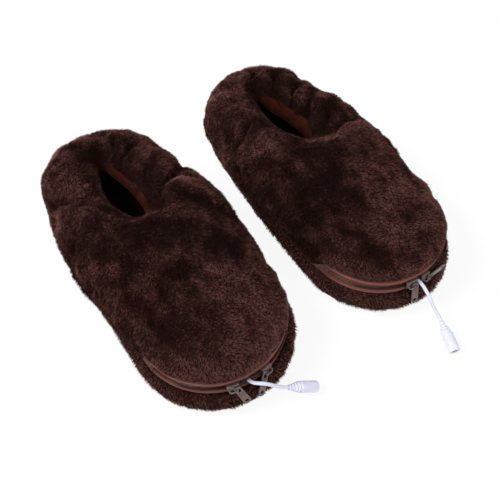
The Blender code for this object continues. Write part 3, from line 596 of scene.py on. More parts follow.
def makeCoil(side, row):
    way, start = (1, math.pi) if row == "upper" else (-1, 0)
    limit = zipArc["endAngle"] - coil["endGap"] / zipArc["coilBack"]
    middle = (zipArc["coilBack"] + zipArc["coilFront"]) / 2
    depth = (zipArc["coilFront"] - zipArc["coilBack"]) / 2 - coil["wire"]
    count = int(2 * limit * middle / coil["pitch"] * coil["pointsPerTurn"])
    low, high = -coil["reach"], zipArc["coilWidth"] - coil["wire"]
    line = []
    for step in range(count + 1):
        phase = 2 * math.pi * step / coil["pointsPerTurn"] + start
        angle = limit * (2 * step / count - 1)
        across = (low + high) / 2 + (high - low) / 2 * math.cos(phase)
        level = zipArc["level"] + way * (across + parting(side, angle))
        line.append(onArc(side, middle + depth * math.sin(phase), angle, level))
    piece = sweepRound(side + "_coil_" + row, line, coil["wire"], coil["sides"])
    finish(piece, coilNylon, "slippers", "zip_coil", side + "_zip_coil_" + row)


# tapes: a flat ribbed band beside the coil, rolled over into a smooth binding at its far edge
tape = {
    "split": 0.0015,
    "rim": 0.0205,
    "gap": 0.0003,
    "seam": 0.0006,
    "upperTop": 0.0371,
    "dropAngles": (math.radians(82.15), math.radians(97.1)),
    "thickness": 0.0006,
    "roll": 0.0011,
    "rollWidth": 0.0034,
    "rollShare": 0.45,
    "endGap": 0.0018,
    "steps": 120,
    "facePoints": 8,
    "backPoints": 6,
}


def baseLevel(angle):
    start, end = tape["dropAngles"]
    share = min(max((abs(angle) - start) / (end - start), 0), 1)
    return tape["upperTop"] + (tape["rim"] + tape["gap"] - tape["upperTop"]) * share


def angleUnder(level):
    start, end = tape["dropAngles"]
    drop = tape["upperTop"] - tape["rim"] - tape["gap"]
    return start + (end - start) * (tape["upperTop"] - level) / drop


# one stitch is modelled once, then copied along the tape
stitch = {
    "length": 0.0019,
    "pitch": 0.0026,
    "radius": 0.00026,
    "sunk": 0.00008,
    "endAngle": math.radians(79),
    "inset": {"upper": 0.20, "lower": 0.14},
}


def sewStitches(side, row, levels):
    reach, radius, face = stitch["endAngle"], stitch["radius"], zipArc["face"]
    count = int(2 * reach * face / stitch["pitch"])
    bpy.ops.object.select_all(action="DESELECT")
    bpy.ops.mesh.primitive_uv_sphere_add(segments=6, ring_count=5, radius=1, location=(0, 0, 0))
    one = bpy.context.object
    editAll(bpy.ops.transform.resize, value=(radius, radius, stitch["length"] / 2))
    shape = vectorsOf(one.data, "co")
    rings = [tuple(ring.vertices) for ring in one.data.polygons]
    bpy.data.objects.remove(one)
    points, faces, along, across = [], [], [], []
    for index in range(count):
        angle = reach * (2 * (index + 0.5) / count - 1)
        level = float(np.interp(angle, *zip(*levels)))
        faces += [tuple(len(points) + corner for corner in ring) for ring in rings]
        for aside, out, onward in shape:
            turn = angle + onward / face
            points.append(onArc(side, face - stitch["sunk"] + out, turn, level + aside))
            along.append(turn * face)
            across.append(aside)
    piece = meshFrom(side + "_stitches_" + row, points, [], faces)
    evenNormals()
    stripMap(piece.data, along, across)
    bpy.ops.object.shade_smooth()
    finish(piece, tapeThread, "slippers", "zip_tape")


def tapeEdges(side, row, angle):  # its levels beside the coil and at the far edge
    level, split, seam, drawn = zipArc["level"], tape["split"], tape["seam"], parting(side, angle)
    if row == "upper":
        return level + split + drawn, baseLevel(angle) - seam
    if abs(angle) > zipArc["endAngle"] + tape["endGap"] / zipArc["coilBack"]:
        return min(level + split - tape["gap"], baseLevel(angle) - seam), tape["rim"] + tape["gap"]
    return level - split - drawn, tape["rim"] + tape["gap"]


def makeTape(side, row):
    face, steps = zipArc["face"], tape["steps"]
    foot = zipArc["level"] + tape["split"] if row == "upper" else tape["rim"] + tape["gap"]
    limit = angleUnder(foot + 2 * tape["seam"])
    rings, along, across, stitchLevels = [], [], [], []
    for angle in [limit * (2 * step / steps - 1) for step in range(steps + 1)]:
        near, far = tapeEdges(side, row, angle)
        width = abs(far - near)
        rolled = min(width * tape["rollShare"], tape["rollWidth"])
        section = []
        for share in np.linspace(0, 1, tape["facePoints"]):
            beyond = min(max(0.0, share * width - (width - rolled)) / rolled, 1)
            bulge = tape["roll"] * math.sin(math.pi * beyond) ** 0.7 if beyond > 0 else 0
            section.append((near + (far - near) * share, face + bulge))
        for share in np.linspace(1, 0, tape["backPoints"]):
            section.append((near + (far - near) * share, face - tape["thickness"]))
        rings.append([onArc(side, radius, angle, height) for height, radius in section])
        along += [angle * face] * len(section)
        across += [height for height, radius in section]
        stitchLevels.append((angle, near + (far - near) * stitch["inset"][row]))
    piece = loftRings(side + "_tape_" + row, rings)
    stripMap(piece.data, along, across)
    smoothBelow(50)
    finish(piece, tapeCloth, "slippers", "zip_tape", side + "_zip_tape_" + row)
    sewStitches(side, row, stitchLevels)


for side in sides:
    for row in ("upper", "lower"):
        makeCoil(side, row)
        makeTape(side, row)
print("zips made")


# sliders: the solids with their edges rounded
slider = {"edge": 0.00035, "segments": 2, "degrees": 35}


def makeSlider(node):
    piece = copyNode(node, node + "_body")
    roundEdges(piece, slider["edge"], slider["segments"], slider["degrees"])
    finish(piece, plain["zipMetal"], node, "zip_metal", node)


# pulls: laid flat, given a raised rim round the tab, its eye and its hole, and put back as they hang
pull = {
    "rim": 0.00042,
    "recess": 0.00020,
    "edge": 0.00013,
    "segments": 2,
    "degrees": 40,
    "hangs": {
        "left_pull_left": ((-0.10308, -0.13015, 0.0293), (0.9147, -0.1945, 0.3542),
                           (0.3156, 0.8913, -0.3256), (-0.2524, 0.4096, 0.8767)),
        "left_pull_right": ((-0.07839, -0.13275, 0.0293), (0.8345, -0.1407, -0.5327),
                            (-0.1183, 0.8986, -0.4226), (0.5381, 0.4157, 0.7332)),
        "right_pull_left": ((0.07229, -0.14516, 0.0293), (0.97, -0.2379, -0.0495),
                            (0.2095, 0.922, -0.3256), (0.1231, 0.3054, 0.9442)),
        "right_pull_right": ((0.08676, -0.14606, 0.0293), (0.0, 0.0, 1.0),
                             (-0.0175, 0.9998, 0.0), (-0.9998, -0.0175, 0.0)),
    },
}


def makePull(node):
    hinge, *axes = pull["hangs"][node]
    hanging = Matrix(axes).transposed().to_4x4()
    hanging.translation = hinge
    piece = copyNode(node, node + "_tab")
    piece.data.transform(hanging.inverted())
    editAll(bpy.ops.mesh.dissolve_limited, angle_limit=math.radians(2))
    for way in (-1, 1):
        for face in piece.data.polygons:
            face.select = face.normal.y * way > 0.95
        bpy.ops.object.mode_set(mode="EDIT")
        bpy.ops.mesh.inset(thickness=pull["rim"], use_even_offset=True)
        bpy.ops.transform.translate(value=(0, -way * pull["recess"], 0))
        bpy.ops.mesh.select_all(action="DESELECT")
        bpy.ops.object.mode_set(mode="OBJECT")
    roundEdges(piece, pull["edge"], pull["segments"], pull["degrees"])
    piece.data.transform(hanging)
    finish(piece, plain["zipMetal"], node, "zip_metal", node)


for side in sides:
    for place in ("left", "right"):
        makeSlider(f"{side}_slider_{place}")
        makePull(f"{side}_pull_{place}")
print("sliders and pulls made")


# plush covers: the solid is remeshed, drawn in by the depth of the pile and blown up as cloth
plush = {
    "voxel": 0.0032,
    "smooth": 5,
    "drawnIn": 0.0027,
    "cloth": {
        "quality": 5,
        "mass": 0.3,
        "tension_stiffness": 12,
        "compression_stiffness": 12,
        "bending_stiffness": 0.4,
        "use_pressure": True,
        "uniform_pressure_force": 4.0,
        "shrink_min": -0.035,
        "shrink_max": -0.035,
        "vertex_group_mass": "held",
    },
    "frames": 18,
    "farthest": 0.0026,
    "seamLevel": 0.0235,
    "toeSeamLevel": 0.039,
    "seamRise": 0.006,
    "cavityTop": 0.072,
    "throatHeld": 0.7,
    "lowered": 0.0014,
    "loweredLevels": (0.0215, 0.0300),
    "seeds": {"left": 3.0, "right": 11.0},
}


def roundOff(name, node, voxel, rounds):
    piece = copyNode(node, name)
    addModifier(piece, "REMESH", mode="VOXEL", voxel_size=voxel, use_smooth_shade=True)
    addModifier(piece, "SMOOTH", factor=0.5, iterations=rounds)
    applyAll(piece)
    return piece


def blowUp(piece, held):
    points, normals = skinOf(piece.data)
    start = points - normals * plush["drawnIn"] * (1 - held)[:, None]
    setPoints(piece.data, start)
    pins = piece.vertex_groups.new(name="held")
    for index in np.nonzero(held > 0.02)[0]:
        pins.add([int(index)], float(held[index]), "REPLACE")
    cloth = addModifier(piece, "CLOTH")
    for key, value in plush["cloth"].items():
        setattr(cloth.settings, key, value)
    cloth.settings.effector_weights.gravity = 0
    cloth.point_cache.frame_end = plush["frames"]
    for step in range(1, plush["frames"] + 1):
        bpy.context.scene.frame_set(step)
    applyAll(piece)
    bpy.context.scene.frame_set(1)
    moved = vectorsOf(piece.data, "co") - start
    length = np.linalg.norm(moved, axis=1, keepdims=True)
    setPoints(piece.data, start + moved * np.minimum(length, plush["farthest"]) / np.maximum(length, 1e-9))
    piece.vertex_groups.clear()


# folds in millimetres: depth, width, how much painted shade darkens the pile in them (a share), and
# the line seen from above. Creases run on to the outline, and puckers fade out at the crest of the collar.
folds = {
    "creases": {
        "left": (
            (3, 5, 0.5, ((9, 18), (16, 25.2), (27.1, 33.8), (49.6, 47.9), (62, 56))),
            (2.4, 3.8, 0.5, ((-60, 95), (-41.4, 66.2), (-33.8, 50.7), (-20.7, 33.7))),
            (3.2, 5, 0.5, ((33.1, 21.6), (41.8, 6.1), (58.8, -13.3))),
        ),
        "right": (
            (3.6, 4.6, 0.5, ((15.3, 10.2), (33.2, 12.8), (53.6, 12.3))),
            (3.4, 4.2, 0.55, ((53.6, 12.3), (59.3, -11.1), (59.4, -36))),
            (1.8, 4, 0.35, ((-33.5, 60.6), (-59.1, 54.2), (-73, 50))),
        ),
    },
    "puckers": {
        "left": (
            (4.4, 3.8, 0.75, ((33, 94), (11.4, 72))),
            (3.8, 3.4, 0.65, ((27, 112), (10.9, 82.3))),
            (4.4, 5, 0.75, ((44, 69), (20, 48), (11.1, 31.1))),
            (4.6, 4.6, 0.75, ((-15, 124), (1.3, 96.7))),
        ),
        "right": (
            (4.6, 4, 0.75, ((13, 120), (-7.5, 88.7))),
            (4.4, 3.4, 0.75, ((27, 101), (3.3, 74))),
            (4.4, 3.4, 0.7, ((35, 79), (13.1, 60.6))),
            (4.8, 4.2, 0.8, ((44, 62), (14.5, 43.1))),
            (4.6, 4.6, 0.8, ((44, 40), (15.5, 21.4))),
            (3, 4.8, 0.55, ((-49.5, 55.4), (-30.6, 49))),
        ),
    },
}
# puffs in millimetres: x, y, radius and height
puffs = {
    "left": ((25.2, 17.6, 11, 3), (-4, 11, 11, 2.4), (-29.3, 77.5, 16, 1.8)),
    "right": ((2, 3, 11, 2.4), (45, -5, 13, 3), (-40, 75, 16, 1.8)),
}
lumps = {
    "size": 0.024,
    "depth": 0.0016,
    "fine": 0.0105,
    "fineDepth": 0.0010,
    "onThroat": 0.6,
    "levels": (0.0235, 0.0355),
    "downward": (0.1, 0.4),
}
slit = {
    "ends": (0.026, 0.088),
    "middle": 0.056,
    "half": 0.038,
    "stops": (-1.2, -0.8, -0.3, 0.2, 0.7, 1.2),
    "far": {
        "left": (0.0045, 0.0030, -0.0012, -0.0036, -0.0026, 0.0010),
        "right": (0.0070, 0.0055, 0.0010, -0.0026, -0.0018, 0.0),
    },
    "near": {
        "left": (-0.0010, -0.0040, -0.0048, -0.0038, -0.0015, 0.0),
        "right": (0.0, -0.0022, -0.0030, -0.0022, -0.0010, 0.0),
    },
    "stretch": {"left": 0.0045, "right": 0.0050},
    "across": (-0.006, 0.006),
    "reach": (0.019, 0.036),
    "levels": (0.048, 0.068),
}

# where the pile is brushed dark or light, partly as painted shade and painted highlight: strength,
# then in millimetres the width and a line seen from above
brushedAndPaintedLight = {
    "left": (
        (-0.462, 13, ((-14, 6), (19, -16), (44, -40))),
        (-0.33, 10, ((-52, 12), (-15, 12))),
        (-0.33, 12, ((-7, -49), (41, -51))),
        (-0.198, 9, ((-58, -60), (-26, -79))),
        (-0.176, 7, ((-46, -86), (-18, -104))),
        (-0.33, 7, ((-12, -70), (-2, -64))),
        (0.363, 24, ((18, -79), (27, -110), (-4, -125))),
        (0.176, 8, ((-29, 70), (-39, 40))),
        (-0.22, 8, ((-65, 32), (-55, 24))),
        (0.308, 10, ((-4, 91), (-2, 57))),
        (-0.286, 10, ((-43, 57), (-54, 38))),
        (-0.22, 9, ((-32, -26), (-7, -19), (22, -38))),
        (0.242, 11, ((-42, -100), (-51, -113), (-8, -137))),
        (0.22, 9, ((41, 56), (43, 25))),
        (0.22, 8, ((19, -12), (33, -21))),
        (-0.176, 9, ((-60, -7), (-56, -32), (-53, -43))),
        (-0.176, 8, ((0, -68), (0, -72))),
        (0.286, 8, ((0, -39), (-11, -55))),
        (0.77, 4.5, ((-12, 13), (6, 13))),
        (0.385, 4, ((-12, 74), (-15, 45), (-12, 25))),
    ),
    "right": (
        (-0.462, 11, ((-26, 22), (-4, -19), (-36, -36))),
        (-0.374, 10, ((-52, -18), (-22, -55))),
        (-0.374, 9, ((-48, -58), (-44, -70))),
        (-0.242, 8, ((-40, -104), (-22, -118))),
        (0.44, 6.5, ((46, 2), (57, -29), (60, -70), (42, -100))),
        (0.198, 14, ((-8, -75), (26, -78))),
        (0.176, 9, ((-33, 76), (-60, 64))),
        (0.22, 6, ((-40, 14), (-46, 36))),
        (-0.33, 20, ((-74, 20), (-74, -70))),
        (0.242, 10, ((3, 80), (35, 54))),
        (-0.154, 10, ((-65, 25), (-32, 4))),
        (0.242, 8, ((40, -92), (26, -107))),
        (-0.154, 10, ((-83, -88), (-67, -97))),
        (0.242, 14, ((-33, -85), (-8, -109))),
        (0.715, 4.5, ((-9, 12), (13, -2))),
        (0.385, 4, ((-10, 70), (-15, 45), (-12, 25))),
    ),
}

# pairs are ranges that a share eases over: of levels, of reach from the slit, of y (it falls towards
# the toe) or of how much a normal faces that way; triples put the share that fades before them
foldShape = {
    "lip": 0.3,
    "lipAt": 1.9,
    "shadeWidth": 1.3,
    "shadeLevels": (0.045, 0.060),
    "crest": {"creases": (0.5, 0.040, 0.062), "puckers": (1, 0.024, 0.042)},
    "nearSlit": (0.010, 0.022),
    "facing": (-0.35, 0.15),
    "levels": (0.046, 0.060),
}
# painted shade: the pile is coloured darker on the walls that slope down into the opening
throat = {"tone": -0.34, "facing": (0.1, 0.4), "reach": (0.020, 0.026), "levels": (0.045, 0.055)}
# painted highlight: the pile is coloured lighter along the crest of the collar ring
collarRingHighlight = {
    "tone": 0.20,
    "reach": 0.047,
    "width": 0.012,
    "ahead": (0.015, 0.035),
    "levels": (0.050, 0.065),
}
# painted highlight: the pile is coloured lighter on the toe just above the zip
toeRimHighlight = {"tone": 0.40, "ahead": (-0.085, -0.065), "levels": (0.046, 0.060)}


def fromAbove(side, points):
    return points[:, :2] - np.array(slipperAt[side])


def bell(distance, width):
    return np.exp(-(distance / width) ** 2)


def nearLine(seen, line):  # how far each point lies from a line of the tables, in millimetres
    far = []
    for start, end in zip(np.array(line), np.array(line[1:])):
        fromStart, way = seen * 1000 - start, end - start
        along = np.clip(fromStart @ way / (way @ way), 0, 1)
        far.append(np.linalg.norm(fromStart - along[:, None] * way, axis=1))
    return np.min(far, axis=0)


def fromSlit(side, points):
    seen = fromAbove(side, points)
    middle = np.stack([np.zeros(len(seen)), np.clip(seen[:, 1], *slit["ends"])], axis=1)
    return middle - seen


def slitReach(side, points):
    return np.linalg.norm(fromSlit(side, points), axis=1)


def onThroat(side, points, normals):  # the walls that slope down into the opening
    inward, reach = fromSlit(side, points), slitReach(side, points)
    facing = np.einsum("ij,ij->i", normals[:, :2], inward) / np.maximum(reach, 1e-6)
    share = ease(facing, *throat["facing"]) * (1 - ease(reach, *throat["reach"]))
    return share * ease(points[:, 2], *throat["levels"])


def creased(side, points, normals):
    seen, reach = fromAbove(side, points), slitReach(side, points)
    sunk = np.zeros(len(points))
    for kind, settings in foldShape["crest"].items():
        crest = fade(reach, settings)
        for depth, width, dark, line in folds[kind][side]:
            distance = nearLine(seen, line)
            lip = foldShape["lip"] * bell(distance - foldShape["lipAt"] * width, width)
            sunk += depth / 1000 * (bell(distance, width) - lip) * crest
    sunk *= 0.4 + 0.6 * ease(reach, *foldShape["nearSlit"])
    for x, y, radius, height in puffs[side]:
        sunk -= height / 1000 * bell(np.linalg.norm(seen * 1000 - (x, y), axis=1), radius)
    upward = ease(normals[:, 2], *foldShape["facing"]) * ease(points[:, 2], *foldShape["levels"])
    return points - normals * (sunk * upward)[:, None]


def toneWithPaintedLight(side, points, normals):
    seen, level = fromAbove(side, points), points[:, 2]
    tone = np.zeros(len(points))
    # painted shade: the pile is coloured darker along each crease and pucker
    for depth, width, dark, line in folds["creases"][side] + folds["puckers"][side]:
        tone = np.minimum(tone, -dark * bell(nearLine(seen, line), foldShape["shadeWidth"] * width))
    tone *= ease(level, *foldShape["shadeLevels"])
    # pile brushed dark or light, partly painted shade and painted highlight
    for strength, width, line in brushedAndPaintedLight[side]:
        tone += strength * bell(nearLine(seen, line), width)
    # painted highlight on the collar ring's crest
    ring = bell(slitReach(side, points) - collarRingHighlight["reach"], collarRingHighlight["width"])
    ring *= ease(seen[:, 1], *collarRingHighlight["ahead"]) * ease(level, *collarRingHighlight["levels"])
    # painted highlight on the toe just above the zip
    rim = (1 - ease(level, *toeRimHighlight["levels"])) * (1 - ease(seen[:, 1], *toeRimHighlight["ahead"]))
    tone += collarRingHighlight["tone"] * ring + toeRimHighlight["tone"] * rim
    # painted shade on the throat's walls
    return tone + throat["tone"] * onThroat(side, points, normals)


def openedOut(side, points):  # the slit as it gapes: its walls moved aside and its ends drawn apart
    seen = fromAbove(side, points)
    along = (seen[:, 1] - slit["middle"]) / slit["half"]
    share = ease(seen[:, 0], *slit["across"])
    aside = np.interp(along, slit["stops"], slit["far"][side]) * share
    aside += np.interp(along, slit["stops"], slit["near"][side]) * (1 - share)
    onward = slit["stretch"][side] * np.clip(along, slit["stops"][0], slit["stops"][-1])
    near = (1 - ease(slitReach(side, points), *slit["reach"])) * ease(points[:, 2], *slit["levels"])
    return points + np.stack([aside, onward, np.zeros(len(near))], axis=1) * near[:, None]


def noiseAt(points, size, seed):
    place = points / np.asarray(size)
    return np.array([noise.noise(Vector((p[0] + seed, p[1], p[2]))) for p in place])


def heldShare(side, points, normals):
    level = points[:, 2]
    seam = 1 - ease(level, plush["seamLevel"], plush["seamLevel"] + plush["seamRise"])
    toe = 1 - ease(level, plush["toeSeamLevel"], plush["toeSeamLevel"] + plush["seamRise"])
    toe *= fromAbove(side, points)[:, 1] < zipArc["centre"]
    cavity = (normals[:, 2] < -0.2) & (level < plush["cavityTop"])
    walls = onThroat(side, points, normals) * plush["throatHeld"]
    return np.maximum.reduce([seam, toe, cavity * 1.0, walls])


def finishSoft(piece, points, material, slot, node):
    setPoints(piece.data, points)
    bpy.ops.object.shade_smooth()
    finish(piece, material, "slippers", slot, node)


def makeUpper(side):
    seed = plush["seeds"][side]
    piece = roundOff(side + "_plush_upper", side + "_upper", plush["voxel"], plush["smooth"])
    blowUp(piece, heldShare(side, *skinOf(piece.data)))
    addModifier(piece, "SUBSURF", levels=1)
    applyAll(piece)
    setPoints(piece.data, openedOut(side, creased(side, *skinOf(piece.data))))
    points, normals = skinOf(piece.data)
    swell = lumps["depth"] * noiseAt(points, lumps["size"], seed)
    swell += lumps["fineDepth"] * noiseAt(points, lumps["fine"], seed + 7)
    swell *= ease(points[:, 2], *lumps["levels"]) * (1 - ease(-normals[:, 2], *lumps["downward"]))
    swell *= 1 - lumps["onThroat"] * onThroat(side, points, normals)
    points += normals * swell[:, None]
    points[:, 2] -= plush["lowered"] * (1 - ease(points[:, 2], *plush["loweredLevels"]))
    finishSoft(piece, points, plain["fleeceBase"], "plush", side + "_upper")
    return piece


soleCover = {
    "voxel": 0.0030,
    "smooth": 5,
    "lump": 0.0009,
    "lumpSize": 0.014,
    "footLevels": (0.004, 0.008),
    "topLevels": (0.0185, 0.0200),
    "raised": 0.0006,
    "raisedLevels": (0.0165, 0.0190),
    "seeds": {"left": 5.0, "right": 17.0},
}


def makeSole(side):
    piece = roundOff(side + "_plush_sole", side + "_sole_cover", soleCover["voxel"], soleCover["smooth"])
    addModifier(piece, "SUBSURF", levels=1)
    applyAll(piece)
    points, normals = skinOf(piece.data)
    swell = noiseAt(points, soleCover["lumpSize"], soleCover["seeds"][side]) * soleCover["lump"]
    swell *= ease(points[:, 2], *soleCover["footLevels"])
    swell *= 1 - ease(points[:, 2], *soleCover["topLevels"])
    points += normals * swell[:, None]
    points[:, 2] += soleCover["raised"] * ease(points[:, 2], *soleCover["raisedLevels"])
    finishSoft(piece, points, plain["fleeceBase"], "plush", side + "_sole_cover")
    return piece


uppers = {side: makeUpper(side) for side in sides}
print("uppers blown up")
soles = {side: makeSole(side) for side in sides}
print("soles made")


# pile: small tapered tufts, combed in patches and drawn together in locks, with painted shade that darkens
# them towards their roots.
# Lean is in radians: its middle, how much it varies by patch, and its random spread. Lengths, widths
# and gathering are a least share and what chance adds to it.
pile = {
    "length": 0.0033,
    "width": 0.00060,
    "sunk": 0.0003,
    "lengths": (0.75, 0.5),
    "widths": (0.7, 0.6),
    "swirl": 1.6,
    "swirlSpread": 0.30,
    "swirlSize": (0.020, 0.030, 0.020),
    "leanSize": (0.011, 0.016, 0.011),
    "toneSize": (0.026, 0.034, 0.026),
    "fineSize": (0.0060, 0.0090, 0.0060),
    "upperTufts": 47000,
    "upperLayers": 3,
    "soleTufts": 22000,
    "comb": (0.15, -1.0, -0.35),
    "lean": (0.72, 0.9, 0.14),
    "leanLimits": (0.1, 1.3),
    "perLock": 4,
    "lockReach": (0.0018, 0.0030),
    "lockLengths": (0.75, 0.55),
    "gathered": 0.55,
    "gathering": (0.4, 0.6),
    # tone shares: "lying" is painted sheen, lighter where the tufts lie flatter; the others vary at random
    "tone": {"middle": 0.52, "lying": 0.45, "patches": 0.32, "fine": 0.24, "lock": 0.12, "random": 0.12},
    "mapped": ((-0.012, 0.02), (0.012, 0.02), (0, 0.98)) * 3 + ((-0.012, 0.0), (0.012, 0.0), (0, 0.03)),
    # painted light: the sole's pile is coloured lighter, against the shade the toe casts on the flange
    "soleTone": 0.60,
}
# where the upper grows no pile: underneath, and in the cavity's box where a face turns to the spine
bareUpper = {
    "downward": -0.88,
    "underLevel": 0.045,
    "box": (0.055, 0.125),
    "boxLevel": 0.0655,
    "upward": 0.2,
    "spine": ((0, -0.073), (0, 0.098)),
    "outward": 0.02,
}
# how much shorter the pile is at the seam, on the throat's walls and at the toe
shortUpper = {
    "seam": 0.5,
    "toeSeam": 0.0371,
    "sideSeam": 0.0208,
    "toeSeamEnd": -0.063,
    "rise": 0.008,
    "throat": 0.25,
    "toe": 0.28,
    "toeAhead": (-0.095, -0.045),
}
soleGrown = {"foot": 0.45, "more": 0.35, "levels": (0.002, 0.009), "bareLevel": 0.0045, "downward": -0.8}


def vary(rng, count, limits):
    return limits[0] + limits[1] * rng.random(count)


def tuftPlaces(mesh, count, rng, allowed):
    mesh.calc_loop_triangles()
    corners = np.empty(len(mesh.loop_triangles) * 3, dtype=int)
    mesh.loop_triangles.foreach_get("vertices", corners)
    corners = corners.reshape(-1, 3)
    points, normals = skinOf(mesh)
    first, second, third = (points[corners[:, index]] for index in range(3))
    areas = np.linalg.norm(np.cross(second - first, third - first), axis=1) / 2
    areas = areas * allowed((first + second + third) / 3, normals[corners].mean(axis=1))
    picked = rng.choice(len(areas), size=count, p=areas / areas.sum())
    spread = np.sqrt(rng.random(count))
    other = rng.random(count)
    shares = np.stack([1 - spread, spread * (1 - other), spread * other], axis=1)[:, :, None]
    roots = (points[corners[picked]] * shares).sum(axis=1)
    grown = (normals[corners[picked]] * shares).sum(axis=1)
    return roots, grown / np.linalg.norm(grown, axis=1, keepdims=True)


def comb(mesh, count, rng, patch, allowed):
    roots, normals = tuftPlaces(mesh, count, rng, allowed)
    way = np.array(pile["comb"])
    flat = way - normals * (normals @ way)[:, None]
    flat /= np.maximum(np.linalg.norm(flat, axis=1, keepdims=True), 1e-6)
    swirl = pile["swirl"] * noiseAt(roots, pile["swirlSize"], patch)
    swirl += rng.normal(0, pile["swirlSpread"], count)
    flat = flat * np.cos(swirl)[:, None] + np.cross(normals, flat) * np.sin(swirl)[:, None]
    lying = noiseAt(roots, pile["leanSize"], patch + 31)
    middle, varied, spread = pile["lean"]
    lean = np.clip(middle + varied * lying + rng.normal(0, spread, count), *pile["leanLimits"])
    return roots, normals, normals * np.cos(lean)[:, None] + flat * np.sin(lean)[:, None], lying


def drawTogether(mesh, tips, roots, rng, patch, allowed, shortened):
    lockRng = np.random.default_rng(patch)
    heads, facing, leaning, lying = comb(mesh, len(roots) // pile["perLock"], lockRng, patch, allowed)
    reach = pile["length"] * vary(lockRng, len(heads), pile["lockLengths"]) * shortened(heads, facing)
    ends = heads + leaning * reach[:, None]
    tone = lockRng.normal(0, 1, len(heads))
    tree = KDTree(len(heads))
    for index, head in enumerate(heads):
        tree.insert(head, index)
    tree.balance()
    nearest = np.array([tree.find(root)[1] for root in roots])
    near = 1 - ease(np.linalg.norm(heads[nearest] - roots, axis=1), *pile["lockReach"])
    share = pile["gathered"] * near * vary(rng, len(roots), pile["gathering"])
    return tips + (ends[nearest] - tips) * share[:, None], tone[nearest]


def tuftMesh(name, corners):  # one slim three-sided spike from each set of three feet and a tip
    count = len(corners)
    order = np.array([(0, 1, 3), (1, 2, 3), (2, 0, 3), (0, 2, 1)])
    faces = (np.arange(count)[:, None, None] * 4 + order).reshape(-1, 3)
    mesh = bpy.data.meshes.new(name)
    mesh.vertices.add(count * 4)
    mesh.vertices.foreach_set("co", corners.ravel())
    mesh.loops.add(len(faces) * 3)
    mesh.loops.foreach_set("vertex_index", faces.ravel())
    mesh.polygons.add(len(faces))
    mesh.polygons.foreach_set("loop_start", np.arange(len(faces)) * 3)
    mesh.update(calc_edges=True)
    return mesh


def growPile(name, base, count, seed, allowed, shortened, shaded):
    rng = np.random.default_rng(seed)
    patch = seed % 10
    roots, normals, along, lying = comb(base.data, count, rng, patch, allowed)
    length = pile["length"] * vary(rng, count, pile["lengths"]) * shortened(roots, normals)
    tips = roots + along * length[:, None]
    tips, lockTone = drawTogether(base.data, tips, roots, rng, patch, allowed, shortened)
    along = tips - roots
    along /= np.linalg.norm(along, axis=1, keepdims=True)
    across = np.cross(along, normals)
    across /= np.maximum(np.linalg.norm(across, axis=1, keepdims=True), 1e-6)
    square = np.cross(along, across)
    width = pile["width"] * vary(rng, count, pile["widths"]) / 2
    corners = np.empty((count, 4, 3))
    for index in range(3):
        angle = 2 * math.pi * index / 3
        aside = across * math.cos(angle) + square * math.sin(angle)
        corners[:, index] = roots - normals * pile["sunk"] + aside * width[:, None]
    corners[:, 3] = tips
    mesh = tuftMesh(name, corners)
    shares = pile["tone"]
    # painted sheen: tufts that lie flatter are coloured lighter
    tone = shares["middle"] + shares["lying"] * lying
    tone += shares["patches"] * noiseAt(roots, pile["toneSize"], patch + 57)
    tone += shares["fine"] * noiseAt(roots, pile["fineSize"], patch + 83)
    tone += shares["lock"] * lockTone + rng.normal(0, shares["random"], count) + shaded(roots, normals)
    places = np.tile(pile["mapped"], (count, 1)).reshape(count, 12, 2)
    places[:, :, 0] += 0.02 + 0.96 * np.clip(tone, 0, 1)[:, None]
    mesh.uv_layers.new(name="OFBake").data.foreach_set("uv", places.ravel())
    piece = newPiece(name, mesh)
    bpy.ops.object.shade_smooth()
    finish(piece, pileYarn, "slippers", "plush")


def upperAllowed(side, middles, facing):
    seen, level, upward = fromAbove(side, middles), middles[:, 2], facing[:, 2]
    under = (upward < bareUpper["downward"]) & (level < bareUpper["underLevel"])
    inside = (np.abs(seen) < bareUpper["box"]).all(axis=1) & (level < bareUpper["boxLevel"])
    fromSpine = seen - np.clip(seen, *bareUpper["spine"])
    outer = np.einsum("ij,ij->i", fromSpine, facing[:, :2]) > bareUpper["outward"]
    return ~(under | (inside & (upward < bareUpper["upward"]) & ~outer))


def upperShortened(side, roots, normals):
    short, ahead = shortUpper, fromAbove(side, roots)[:, 1]
    seam = np.where(ahead < short["toeSeamEnd"], short["toeSeam"], short["sideSeam"])
    share = 1 - short["seam"] * (1 - ease(roots[:, 2], seam, seam + short["rise"]))
    share *= 1 - short["throat"] * onThroat(side, roots, normals)
    return share * (1 - short["toe"] * (1 - ease(ahead, *short["toeAhead"])))


def soleAllowed(side, middles, facing):
    return (middles[:, 2] > soleGrown["bareLevel"]) & (facing[:, 2] > soleGrown["downward"])


def soleShortened(side, roots, normals):
    return soleGrown["foot"] + soleGrown["more"] * ease(roots[:, 2], *soleGrown["levels"])


# painted light: one lighter tone for the sole's pile
def soleTone(side, roots, normals):
    return pile["soleTone"]


for index, side in enumerate(sides):
    ways = [partial(way, side) for way in (upperAllowed, upperShortened, toneWithPaintedLight)]
    for layer in range(pile["upperLayers"]):
        seed = 21 + index + 10 * layer
        growPile(f"{side}_pile_upper_{layer + 1}", uppers[side], pile["upperTufts"], seed, *ways)
    ways = [partial(way, side) for way in (soleAllowed, soleShortened, soleTone)]
    growPile(side + "_pile_sole", soles[side], pile["soleTufts"], 44 + index, *ways)
print("pile grown")


